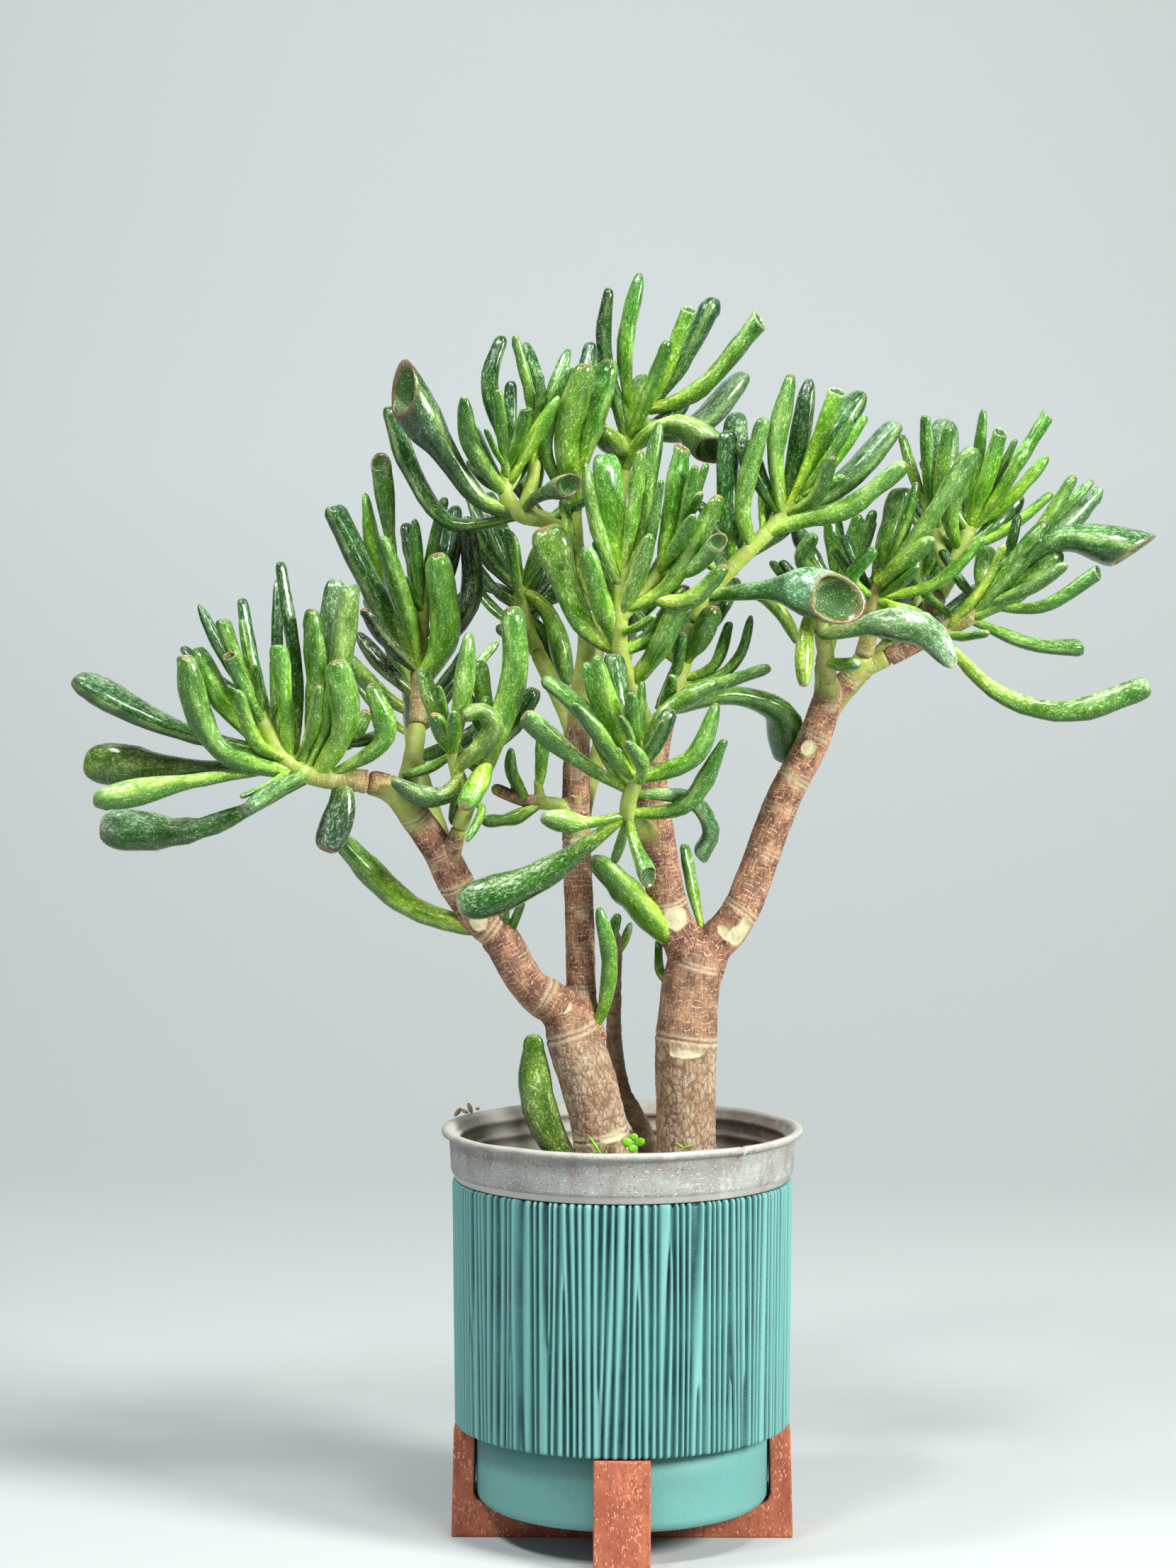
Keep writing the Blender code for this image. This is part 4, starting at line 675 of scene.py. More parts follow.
# %% Seedlings and dry bits
# Each: the place, the half sizes, and the turns about y and z in degrees.
SPROUTS = [
    ((2.4, -25, 188.9), (2.9, 0.5, 2.2), 25, 15), ((8.0, -25.5, 189.0), (2.8, 0.5, 2.1), -20, -15),
    ((5.0, -26.5, 186.2), (2.5, 0.5, 1.9), 0, 20), ((5.4, -24, 191.2), (2.1, 0.5, 1.8), 0, 0),
    ((5.2, -24, 174), (0.5, 0.5, 15.5), 0, 0),
    ((-12.5, -25, 187.3), (0.7, 1.1, 5.2), -32, 0), ((-9, -24, 172), (0.5, 0.5, 14), 8, 0),
    ((27, -22, 187.0), (2.4, 1.0, 0.5), 30, 0), ((30.6, -22, 186.6), (2.6, 1.0, 0.5), -24, 0),
    ((29, -22, 172.5), (0.4, 0.4, 14), 0, 0),
]
DRY_BITS = [((-79, 31.5, 194.6), (2.6, 0.9, 1.2), -50, 20), ((-73.5, 40.5, 195.3), (1.2, 1.0, 2.9), -20, 0),
            ((-76, 36.5, 194.4), (2.8, 1.2, 0.9), 15, -40), ((-70, 46, 194.2), (1.5, 0.9, 0.8), 0, 60)]

straw = Finish("dry_bit", Roughness=0.9)
DRY_BIT = straw.done(straw.mix(straw.noise(900, 3), (0.20, 0.12, 0.075), (0.50, 0.36, 0.24)))
sprout = Finish("seedling", Roughness=0.42, Specular_IOR_Level=0.4)
SPROUT_GREEN = sprout.done(sprout.mix(sprout.noise(350, 3), (0.06, 0.30, 0.008), (0.26, 0.62, 0.02)))


def squashed_balls(name, shapes, material, slot):
    bm = bmesh.new()
    for place, half, about_y, about_z in shapes:
        matrix = Matrix.Translation(place) @ Matrix.Rotation(math.radians(about_z), 4, "Z")
        matrix = matrix @ Matrix.Rotation(math.radians(about_y), 4, "Y") @ Matrix.Diagonal((*half, 1))
        bmesh.ops.create_icosphere(bm, subdivisions=2, radius=1, matrix=matrix)
    finished(bm, name, material, slot)


squashed_balls("seedlings", SPROUTS, SPROUT_GREEN, "leaf")
squashed_balls("dry_bits", DRY_BITS, DRY_BIT, "soil")

# %% [markdown]
# ## Writing down the plant
# The plant is a list of readings from the front. A stem is a row of points, a leaf is its root, its tip and
# the points it bends by, both in millimetres on the upright plane through the pot's axis. Each has a depth of
# its own, so that the crown is round from the side although it was read from one side only.

# %% What a leaf and a shoot are
FRONT = Vector((0.0, -1.0, 0.25))
ENDINGS = ("round", "club", "bulb", "open", "spoon", "boat", "bract", "fat")

Leaf = namedtuple("Leaf", "root tip width by end lean face look cap full")
Shoot = namedtuple("Shoot", "carrier at filled fill_length path forks leaves")


def read_leaves(table):
    """The leaves of a table. A line holds the root's x and z, the tip's x and z, the width, how much nearer
    (negative) or further the tip lies, and the points that the leaf bends by. Then words: its colouring, the
    kind of end that closes it, end= for the width there, full= for how much fuller than the model's it is,
    and front or face= for where its flat side looks."""
    leaves = []
    for line in table.strip().splitlines():
        numbers, end, face, look, cap, full = [], None, None, "green", None, 1.0
        for word in line.split():
            key, _, value = word.partition("=")
            if key == "end":
                end = float(value)
            elif key == "full":
                full = float(value)
            elif key == "face":
                face = Vector([float(part) for part in value.split(",")])
            elif key == "front":
                face = FRONT
            elif key in ENDINGS:
                cap = key
            elif key.isalpha():
                look = key
            else:
                numbers.append(float(word))
        points = list(zip(numbers[0:4:2] + numbers[6::2], numbers[1:4:2] + numbers[7::2]))
        width, lean = numbers[4:6]
        leaves.append(Leaf(points[0], points[1], width, tuple(points[2:]), end or 0.85 * width, lean,
                           face, look, cap, full))
    return leaves


# %% The readings
# A stem is a list of (x, z, radius, y). A shoot names what carries it and the point of its path where it
# takes over: up to there the path belongs to the carrier. Then come the number of leaves that fill its back,
# their length, the path, its forks and the leaves that were read.
LEFT_WOOD = [
    [(-8, 135.3, 14, -5), (-8, 165, 14, -5), (-9, 183, 13.6, -5), (-12.5, 200, 13.4, -5),
     (-18, 220, 13.5, -5), (-22, 232, 13.2, -5), (-25, 243, 11.5, -5), (-28, 252, 7, -5)],
    [(-22, 234, 9.5, -5), (-30, 248, 9.7, -6), (-36, 253, 10.2, -8), (-42, 257, 9.2, -10),
     (-50, 268, 9, -12), (-58, 283, 9, -15), (-66, 291, 9.4, -18), (-75, 302, 8.2, -20),
     (-80, 311, 8.5, -22), (-85, 321, 7.8, -24), (-91, 330, 7.6, -27), (-98, 340, 7.2, -30),
     (-105, 349, 6.8, -32), (-112, 353, 6.2, -35), (-120, 355, 5.9, -37)],
    [(-15, 232, 8.5, -4), (-18, 246, 7.7, -2), (-19.5, 260, 7.2, 0), (-20, 290, 7, 0),
     (-21.5, 330, 6.8, 0), (-21.5, 355, 6.6, -2), (-21, 375, 5.8, -3), (-20, 395, 4.9, -5),
     (-17, 415, 4.3, -8), (-17, 435, 3.9, -10)],
    [(-23, 337, 4.5, -2), (-30, 344, 3.6, -6), (-38, 345, 3.3, -9), (-48, 347, 3.2, -12),
     (-58, 351, 3.1, -14), (-61, 353, 2.8, -14)],
    [(-38, 345, 2.6, -9), (-40, 357, 2.2, -9)],
]
RIGHT_WOOD = [
    [(29.5, 135.3, 14.3, 0), (29.5, 165, 14.3, 0), (30, 195, 14.2, 0), (30, 229, 14.5, 0),
     (31, 250, 13.8, 0), (33, 264, 13.2, 0), (36, 276, 11.5, 0), (38, 284, 7, 0)],
    [(34, 264, 10.5, 0), (29, 279, 10, -2), (23, 290, 9.8, -3), (19, 308, 9, -5), (16, 330, 8.5, -8),
     (14, 350, 7.4, -10), (16, 370, 6.2, -12)],
    [(36, 262, 10, 0), (42, 277, 9.5, 0), (48, 284, 9.6, 1), (54, 292, 9, 1), (59, 302, 8.8, 2),
     (69, 330, 8.5, 3), (77, 350, 8.1, 4), (88, 372, 7.7, 5), (95, 390, 7.4, 6), (99, 397, 6.4, 7)],
]
NECK = [(20, 388, 5.3, -14), (25, 402, 4.8, -16), (30, 416, 4.2, -18), (34, 430, 4, -19)]
BACK_STEM = [(12, 135.3, 4.6, 30), (12, 170, 4.6, 30), (11, 187, 4.5, 30), (5, 200, 4.2, 30),
             (0, 209, 4.1, 30), (-3, 225, 3.8, 30), (-4, 240, 3.6, 30), (-3.2, 258, 3, 30),
             (-2.5, 275, 2.5, 30), (-2.3, 284, 2, 30)]

LEFT_LEAVES = read_leaves("""
    -66 286  -134 330  9.5 22  -76 288  -103 299  full=1.22 bright
    -40 246  -65 279  4 26  dark
    -14 170  -42 236  13 -4  -30 182  -40 206  end=8 full=0.98 olive fat front
    -16 236  -11 296  7.5 -12  -9 248  -6 272  bright
    -52 286  -47 299  4.5 -8
    -56 286  -54 298  3 -14
    -46 348  -52 371  6 -6
    -39 354  -37 378  6 -2
    -38 345  -66 337  7 -10  -52 338  bright
    -48 347  -50 360  4 5
""")
RIGHT_LEAVES = read_leaves("""
    29 274  -13 320  12 -20  18 286  4 302  end=11 full=1.1 bright round
    26 258  17 283  4 18  18 265
    35 284  29 326  5.5 8  34 300
""")
BACK_LEAVES = read_leaves("""
    -4 272  -2 293  5 -3  -5 282
    -2 276  4 289  4 3
""")

SHOOTS = {}
SHOOTS["shoot_low_left"] = Shoot(
    "left_trunk", 14, 6, 44,
    LEFT_WOOD[1] + [(-128, 356, 5.4, -39), (-140, 357, 5, -41), (-150, 360, 4.6, -42),
     (-160, 368, 4.1, -43), (-166, 379, 3.5, -44), (-171, 392, 2.8, -44)],
    [[(-138, 357, 4.4, -41), (-140, 366, 4, -40), (-141, 378, 3.2, -38)]],
    read_leaves("""
    -157 360  -204 414  10 -12  -185 368  -197 385  end=11 full=1.15 red club
    -166 371  -199 418  9 6  -187 393  full=1.15
    -157 365  -180 398  6.5 -18  -172 374  full=1.05 bright
    -156 366  -161 419  7 -14  end=9 full=1.05 bright
    -163 370  -163 413  5 12
    -151 361  -142 400  6 -20  -146 378  pink
    -148 360  -137 402  5 -10  bright
    -145 357  -134 412  11 -16  -130 382  full=1.18 pale
    -136 355  -118 401  8 -9  -112 375  full=1.18 pink
    -140 375  -111 379  6 -6  -124 374
    -140 372  -119 388  6 8  -127 374  full=1.1 red open front
    -141 370  -128 447  10.5 -3  end=10.5 full=1.12 pale club
    -141 375  -134 450  10 16  full=1.25 grey
    -145 368  -145 436  9 -8  end=9 full=1.12
    -153 364  -160 458  6 12  -152 400  dark
    -157 368  -161 450  5 22  dark
    -164 378  -178 441  6 8  dark
    -168 385  -187 431  7.5 -4  end=9
    -169 388  -198 438  6 18  dark
    -170 390  -206 418  5 26  dark
    -167 380  -184 414  6 -16  full=1.1 open face=0.2,-1,0.4
    -169 386  -172 410  4 -6
    -170 390  -178 431  4 2
    -158 366  -256 404  9 14  -212 381  end=12 full=1.15 dark bulb
    -155 362  -252 364  11 34  -200 361  end=20 olive bulb front
    -153 361  -248 347  8 -6  -205 355  end=11 full=1.12 pale bulb
    -147 357  -245 333  10 12  -198 333  end=17 full=1.08 grey bulb front
    -150 358  -176 342  8 -34  end=8.5 full=1.1 grey
    -152 360  -179 348  4 -20
    -130 355  -139 323  13 -8  -132 342  end=16 full=1.12 shade club front
"""))
SHOOTS["shoot_upright_left"] = Shoot(
    "left_trunk", 3, 6, 42,
    [(-102, 346, 6, -30), (-101, 354, 4.9, -21), (-98, 367, 4.5, -9), (-96, 382, 4.3, 1),
     (-95, 397, 4.3, 6), (-95, 412, 4, 10), (-94, 428, 3.6, 11), (-93, 443, 3, 12)],
    [],
    read_leaves("""
    -97 408  -135 484  9.5 4  -113 438  end=10 full=1.08 dark
    -97 424  -120 490  6 14  -112 442  full=1.15 bright
    -96 424  -113 506  5 -6  -105 445  end=9 full=1.1 spoon front
    -96 410  -112 470  8 -16  -100 432  full=1.12
    -94 430  -97 478  5.5 -12
    -94 438  -101 476  8 12  dark
    -93 430  -83 488  5.5 -5  -89 463
    -94 402  -87 462  10.5 -18  -83 425  full=1.2 pink
    -93 440  -86 466  4 8
    -93 436  -78 484  8 16  -84 452  full=1.15 dark
    -93 440  -75 476  5 5  -82 450  shade
    -94 410  -72 476  9 6  -72 438  full=1.15 shade
    -95 402  -121 436  7 -20  shade
    -95 394  -124 425  8 12  shade
    -94 436  -101 451  4 -10
"""))
SHOOTS["shoot_inner_left"] = Shoot(
    "left_trunk", 2, 4, 36,
    [(-82, 314, 5.5, -22), (-79, 325, 4.2, -29), (-76, 334, 3.9, -33), (-73, 343, 3.8, -36),
     (-69, 352, 3.7, -38), (-64, 362, 3.4, -39), (-61, 372, 3, -38), (-61, 384, 2.6, -36)],
    [[(-72, 345, 3.7, -36), (-76, 355, 3.6, -38), (-79, 366, 3.2, -39), (-81, 380, 2.6, -38)]],
    read_leaves("""
    -80 367  -88 387  7 -16  full=1.05 bright
    -79 367  -79 388  6 -22  bright
    -77 362  -75 386  9 -12  -67 370  -60 382  -67 389  full=1.1 pale club
    -79 364  -103 358  5.5 12
    -76 358  -108 356  8 -8  -83 349  -95 349  full=1.4 grey
    -64 362  -75 343  8 -18  end=8 full=1.2 bright
    -63 364  -52 437  11 -8  -51 405  full=1.15
    -71 348  -73 327  5 -14  -66 342
    -75 352  -80 335  5 10
    -80 368  -94 408  7.5 6  full=1.05
    -79 372  -72 425  8 -6  full=1.15 pale
    -61 376  -67 412  8 10
    -61 378  -64 395  6 -8
    -61 379  -58 421  5 14  -68 406
    -81 376  -86 400  4 -8
"""))
SHOOTS["shoot_low_middle"] = Shoot(
    "right_trunk", 2, 3, 34,
    [(15, 329, 6.5, -8), (10, 333, 4.8, -22), (6, 336, 4.2, -34), (3, 339, 3.9, -45), (3, 346, 3.7, -52),
     (6, 355, 3.5, -58), (7, 365, 3.2, -62), (7, 375, 2.6, -64)],
    [],
    read_leaves("""
    2 336  -77 296  9.5 -14  -38 311  end=15 full=1.08 dark fat front
    2 339  -37 339  6 -22  -18 336  end=10 full=1.25 pale bulb
    3 337  13 309  7.5 -14  6 326  end=9 full=1.05 spoon face=0.6,-0.8,0
    5 341  48 375  8 -10  30 345  end=4 full=1.1
    8 357  44 392  8 -8  33 367  end=6 full=1.1
    3 352  -46 386  6.5 -10  -22 366  end=9 full=1.15 pale club face=-0.7,-0.7,0.2
    4 356  -37 404  7 8  -18 388  full=1.3
    4 358  -23 392  8 -16
    5 360  -12 414  7.5 -5  full=1.1 bright
    6 366  -17 411  7 12  -8 384
    6 368  -4 415  8.5 4  end=10 full=1.12 grey club
    7 368  4 397  5.5 -14  end=5.5 full=1.1
    8 366  9 402  5 -4
    8 356  2 374  7 -24  9 364  end=5 pale
    8 360  19 384  4 -16
    6 370  -1 386  4 -10
    7 352  36 321  7 16  31 347  41 333  end=9 full=1.1 grey open
    3 336  -4 317  5 10
    8 363  44 402  7 10  20 388  full=1.1
"""))
SHOOTS["shoot_top_left"] = Shoot(
    "left_trunk", 9, 8, 44,
    LEFT_WOOD[2] + [(-20, 455, 3.7, -12), (-24, 469, 3.7, -14), (-35, 477, 3.9, -16), (-47, 480, 4, -18),
     (-54, 488, 3.7, -20), (-54, 499, 3.2, -20), (-51, 512, 2.6, -20)],
    [[(-21, 459, 3.4, -12), (-22, 478, 3.2, -13), (-22, 496, 3, -14), (-20, 514, 2.4, -14)],
     [(-47, 480, 3.4, -18), (-43, 492, 3.2, -17), (-40, 506, 2.6, -16)]],
    read_leaves("""
    -49 481  -105 541  10 -10  -67 487  -86 513  end=15 full=1.4 dark spoon face=-0.8,-0.6,-0.15
    -54 492  -74 535  8 -18  -70 511  full=1.1
    -54 496  -58 538  5.5 -12  pink
    -53 498  -45 529  5 -20  full=1.1 bright open
    -52 496  -30 535  6 -10  full=1.05 bright
    -53 502  -52 542  7 4  dark
    -42 500  -50 563  5 -6  -42 530
    -41 504  -45 560  6 8  -38 532  dark
    -53 506  -56 563  7.5 14  -62 540  dark
    -40 504  -38 545  4 -12
    -41 502  -25 557  6 12  -34 532  full=1.05
    -24 482  -24 549  7 -8  -36 512
    -22 486  -17 550  11 -14  -26 515  end=10 full=1.12 pink
    -22 494  -6 552  11 4  -17 515  full=1.12
    -20 508  -15 560  8 15  dark
    -50 482  -24 494  8 -22  -40 488  end=12 grey spoon face=0.3,-1,0
    -55 498  -64 520  3 -22
    -54 490  -72 505  5 12
    -44 480  -108 530  8.5 20  -80 476  -99 502  end=9 dark
"""))
SHOOTS["shoot_back_left"] = Shoot(
    "left_trunk", 3, 12, 46,
    [(-21, 371, 5.5, -2), (-25, 384, 4.3, 12), (-33, 402, 4, 30), (-40, 416, 3.8, 41),
     (-45, 428, 3.7, 48), (-47, 441, 3.4, 51), (-48, 455, 2.8, 53)],
    [],
    read_leaves("""
    -47 438  -54 474  5.5 -14
    -47 444  -64 480  6 4  dark
    -47 444  -72 490  6 14  -60 462  dark
    -47 446  -50 470  4 -4
    -47 446  -40 465  5 -10
    -47 443  -26 400  9 -10  -34 432  full=1.1
    -46 434  -32 398  9 10  -36 420  dark
    -47 440  -68 448  6 10
    -45 428  -57 427  8 -24  end=8
"""))
SHOOTS["shoot_middle"] = Shoot(
    "right_trunk", 2, 2, 34,
    [(16, 365, 5.8, -12), (12, 378, 4.4, -20), (8, 390, 4.1, -28), (3, 403, 4, -36), (-1, 417, 3.9, -42),
     (-1, 433, 3.7, -45), (0, 449, 3.5, -46), (5, 463, 2.8, -46)],
    [[(-1, 432, 3.5, -45), (8, 442, 3.4, -45), (17, 452, 3.3, -44), (25, 464, 3, -43), (28, 476, 2.5, -42)]],
    read_leaves("""
    -1 432  13 471  7.5 -12  full=1.1 pale
    4 437  45 489  8 -14  23 449  full=1.15 pink
    -2 417  -17 465  9 -10  full=1.1
    0 446  -17 504  6.5 -6  -12 475  full=1.15 pale
    1 452  -8 508  12 8  end=12.5 full=1.05
    2 452  8 510  6.5 -9  full=1.15 pink
    6 456  17 523  6.5 6  full=1.15
    9 446  18 496  4.5 -10
    14 450  28 511  8 -2  full=1.12 open face=0.8,-0.7,0.2
    22 462  34 503  6 -14
    28 474  39 504  5 -2
    27 476  36 490  5 -16
    19 455  33 480  7 -20  full=1.05
    18 453  45 468  9 -18  33 455  end=9 full=1.02 pale spoon front
    10 444  48 456  7 -14  30 440  full=1.2 bright
    3 404  29 447  9.5 -12  18 420  full=1.2 pink
    0 416  24 441  8 6  14 424  full=1.1 bright
    -1 422  15 433  5 -16  bright
    -1 416  -36 474  8.5 2  -18 428  end=14 full=1.28 red club front
    -1 434  -28 487  5 16  -18 448  yellow
"""))
SHOOTS["shoot_top"] = Shoot(
    "left_trunk", 6, 8, 42,
    [(-20.3, 384, 5, -4), (-17, 395, 4.2, 3), (-13, 410, 3.9, 8), (-11, 430, 3.7, 13), (-8, 450, 3.6, 16),
     (-5, 468, 3.6, 18), (-2, 484, 3.6, 20), (0, 498, 3.7, 20), (2, 511, 3.6, 20), (5, 522, 3.3, 20),
     (12, 532, 2.7, 20)],
    [],
    read_leaves("""
    2 514  -6 585  7 -6  -8 556  dark
    4 520  8 592  7 6  1 556  full=1.05
    4 517  21 561  7 -14  full=1.1
    7 523  31 575  6 -8  17 540  end=6.5 full=1.12 bright open front
    8 526  42 580  8 8  24 545  end=11 dark club
    9 528  64 570  8 -4  36 538  end=9 full=1.02 open face=0.9,-0.6,-0.1
    7 522  56 545  12 16  32 520  end=13 grey
    2 508  -11 520  11 -22  end=12 yellow club
    1 501  45 507  8 -16  10 516  27 521  end=13 full=1.28 pale spoon face=0.1,-0.6,-0.8
"""))
SHOOTS["shoot_neck_right"] = Shoot(
    "right_trunk", 7, 4, 40,
    RIGHT_WOOD[1] + NECK,
    [],
    read_leaves("""
    29 408  43 437  9 -10  full=1.05
    30 404  50 430  6 4  43 410
    27 400  60 433  5.5 -4  44 404  55 415
    26 398  69 409  6 -10  44 401  full=1.15 pale
    23 390  77 366  8.5 38  50 396  74 388  end=12 full=1.45 bulb
    19 382  22 405  7 -14
    24 398  28 425  6 -14
"""))
SHOOTS["shoot_top_right"] = Shoot(
    "shoot_neck_right", 3, 8, 44,
    NECK + [(39, 442, 3.9, -20), (50, 454, 3.9, -21), (58, 462, 3.8, -22), (67, 471, 3.8, -22),
     (76, 480, 3.5, -22), (83, 489, 2.8, -22)],
    [],
    read_leaves("""
    60 465  66 525  7.5 -10  56 485  full=1.12 pale
    72 478  78 545  8.5 -6  71 510  end=6 full=1.15 pale
    77 482  87 543  8 10  full=1.1 dark
    78 484  100 537  6 -8  end=6.5 full=1.15 bright open front
    80 486  111 537  11 14  97 514  full=1.08 dark
    81 486  107 525  6 -16
    82 488  113 526  6 4  bright
    76 478  98 507  7 -20  90 488
    78 481  128 523  11 4  104 496  full=1.08 grey
    71 473  132 504  9 -14  86 478  106 484  full=1.02 pale
    81 486  103 498  6 -8
    68 472  65 500  4 12
    52 456  49 519  9 22  49 486  full=1.1 dark
    53 458  53 527  12 40  51 490  dark
    38 440  104 440  9.5 -34  75 445  end=21 full=1.38 grey spoon front
    40 442  83 420  6 6  60 444  73 436  full=1.1 yellow
"""))
SHOOTS["shoot_front_right"] = Shoot(
    "right_trunk", 1, 2, 30,
    [(97, 395, 5.8, 4), (96, 404, 4.3, -8), (95, 414, 4, -19), (93, 426, 3.8, -28), (90, 438, 3.3, -33)],
    [],
    read_leaves("""
    93 424  155 409  8 -16  120 429  141 426  end=14 full=1.5 grey bract face=-0.3,-0.6,0.7
    91 436  85 400  8 -14  86 424  full=1.1 yellow
    94 414  110 411  6 -22  full=1.1 bright
"""))
SHOOTS["shoot_right_inner"] = Shoot(
    "right_trunk", 2, 4, 38,
    [(103, 400, 6, 7), (109, 407, 4.8, 4), (113, 415, 4.4, 0), (116, 428, 4, -5), (118, 441, 3.7, -8),
     (121, 454, 3, -10)],
    [],
    read_leaves("""
    116 438  118 464  7 -10  107 450
    120 450  130 492  11 12  end=12 full=1.08
    119 446  137 495  7 -6
    121 450  163 511  7 -12  143 478  end=9 full=1.12 pale
    120 448  145 469  8 -20  full=1.1 bright
    118 438  138 456  5 -16  bright
    118 438  168 469  6 -10  146 448  full=1.08 bright
    118 438  140 434  6 -14  full=1.1 bright
"""))
SHOOTS["shoot_right_low"] = Shoot(
    "right_trunk", 12, 6, 44,
    RIGHT_WOOD[2] + [(106, 403, 5.3, 7), (114, 409, 4.8, 6), (125, 414, 4.7, 4), (137, 420, 4.6, 0),
     (150, 426, 4.3, -4), (163, 433, 4, -8), (173, 444, 3.7, -9), (182, 458, 3.2, -9)],
    [],
    read_leaves("""
    178 454  210 498  7 -12
    180 456  219 496  5.5 6  195 472
    179 454  222 492  12 22  grey
    178 452  241 461  12 -4  206 468  end=17 full=1.1 dark boat face=0.05,-0.16,-1
    163 433  197 477  8 -18  full=1.15
    153 428  178 466  5 -12  yellow
    164 433  204 463  10 10  182 444  full=1.05
    180 456  195 468  4 -18
    168 436  207 457  6 -22  full=1.1 pale
    167 434  222 453  6 -8  196 437  end=7 open face=0.7,-0.7,0
    162 431  215 418  6 10  190 420  end=8 full=1.08 club
    149 425  171 425  5 -20
    145 423  246 400  8.5 -16  175 397  208 388  end=12 pale club front
"""))
SHOOTS["shoot_right_top"] = Shoot(
    "shoot_right_low", 2, 8, 44,
    [(134, 418, 4.4, 3), (141, 430, 4.3, 10), (148, 443, 4.2, 15), (155, 456, 4, 19), (160, 469, 3.8, 22),
     (165, 482, 2.9, 24)],
    [[(153, 452, 3.6, 18), (148, 464, 3.4, 22), (144, 477, 2.8, 26)]],
    read_leaves("""
    144 474  141 526  6 -8
    145 472  142 518  7 12  149 494  dark
    147 470  150 524  13 24  end=12 full=1.05 grey
    146 472  152 521  6 -14
    157 462  161 505  8 -18  153 480  pale
    162 474  168 529  5.5 -4
    163 476  176 518  7 -14  full=1.12 bright open face=0.6,-0.8,0.1
    164 480  183 515  4 -8
    163 476  189 512  5 6
    164 478  198 526  6.5 14  full=1.05 open face=0.7,-0.7,0
    163 474  187 508  6 -12  bright
    161 470  198 507  6 4  bright
    159 465  200 490  6 -10  bright
    145 474  130 517  5 4
"""))
SHOOTS["shoot_rear_right"] = Shoot(
    "right_trunk", 2, 9, 44,
    [(94, 386, 6.5, 8), (94, 398, 4.4, 22), (94, 411, 4.1, 34), (97, 425, 3.8, 43), (100, 440, 3.5, 48),
     (103, 455, 3, 50)],
    [],
    read_leaves("""
    101 446  110 480  7 -10
    100 448  97 480  7 6
    102 450  112 478  6 14
    102 446  117 482  6 -6
    100 442  90 471  7 -12  84 458
"""))
SHOOTS["shoot_far_left"] = Shoot(
    "left_trunk", 3, 14, 50,
    [(-68, 292, 6.5, -15), (-74, 303, 4.8, 6), (-82, 322, 4.4, 30), (-91, 346, 4.1, 52),
     (-97, 368, 3.9, 66), (-99, 390, 3.8, 76), (-100, 412, 3.4, 82), (-100, 432, 2.6, 86)],
    [],
    [])
SHOOTS["shoot_far_middle"] = Shoot(
    "left_trunk", 3, 13, 50,
    [(-21, 335, 6, 2), (-17, 350, 4.6, 20), (-10, 372, 4.3, 44), (-3, 398, 4, 62), (2, 420, 3.8, 74),
     (5, 440, 3.5, 82), (6, 460, 2.7, 87)],
    [],
    [])
SHOOTS["shoot_far_right"] = Shoot(
    "right_trunk", 3, 12, 50,
    [(81, 356, 6.8, 6), (89, 371, 4.8, 26), (97, 388, 4.4, 44), (112, 406, 4.1, 58), (128, 424, 3.8, 72),
     (138, 442, 3.5, 80), (142, 460, 2.7, 84)],
    [],
    [])

print("stems and shoots read:", len(LEFT_WOOD) + len(RIGHT_WOOD) + 1, len(SHOOTS))

# %% [markdown]
# A reading becomes a point in space along the line of sight from the camera: further back, everything is a
# little larger and further from the middle. A smooth curve through the points is then sampled evenly.

# %% From readings to curves in space
WOOD_SPACING = 15.0
STEM_SPACING = 12.0
THICK = 6.9


def seen_at(x, z, y):
    """The point in space that a front reading (x, z) stands for at depth y."""
    away = 1 + y / EYE_BACK
    return Vector((x * away, y, EYE_UP + (z - EYE_UP) * away))


def to_reading(point):
    away = 1 + point[1] / EYE_BACK
    return point[0] / away, EYE_UP + (point[2] - EYE_UP) / away, point[1]


def spline(knots, count):
    """count points, evenly spaced, on the smooth curve through the knots (rows of numbers)."""
    knots = np.array(knots, float)
    padded = np.vstack([2 * knots[0] - knots[1], knots, 2 * knots[-1] - knots[-2]])
    fine = []
    for k in range(len(knots) - 1):
        a, b, c, d = padded[k : k + 4]
        for t in np.linspace(0, 1, 12, endpoint=False):
            square, cube = 2 * a - 5 * b + 4 * c - d, 3 * b - a - 3 * c + d
            fine.append(0.5 * (2 * b + (c - a) * t + square * t**2 + cube * t**3))
    fine = np.array(fine + [knots[-1]])
    steps = np.linalg.norm(np.diff(fine[:, :3], axis=0), axis=1)
    along = np.concatenate([[0], np.cumsum(steps)])
    wanted = np.linspace(0, along[-1], count)
    return np.column_stack([np.interp(wanted, along, fine[:, k]) for k in range(fine.shape[1])])


def length_of(points):
    return float(np.linalg.norm(np.diff(np.array(points)[:, :3], axis=0), axis=1).sum())


class Stem:
    """A stem of one node: a coarse line that leaves are set on, and its knots in space."""

    def __init__(self, knots, starts_inside=True):
        self.knots = knots
        self.space = [(*seen_at(x, z, y), radius * (1 + y / EYE_BACK)) for x, z, radius, y in knots]
        spacing = WOOD_SPACING if knots[0][2] > THICK else STEM_SPACING
        self.line = spline(self.space, max(3, round(length_of(self.space) / spacing) + 1))
        self.starts_inside = starts_inside

    def fine(self, spacing):
        return spline(self.space, max(4, round(length_of(self.space) / spacing) + 1))


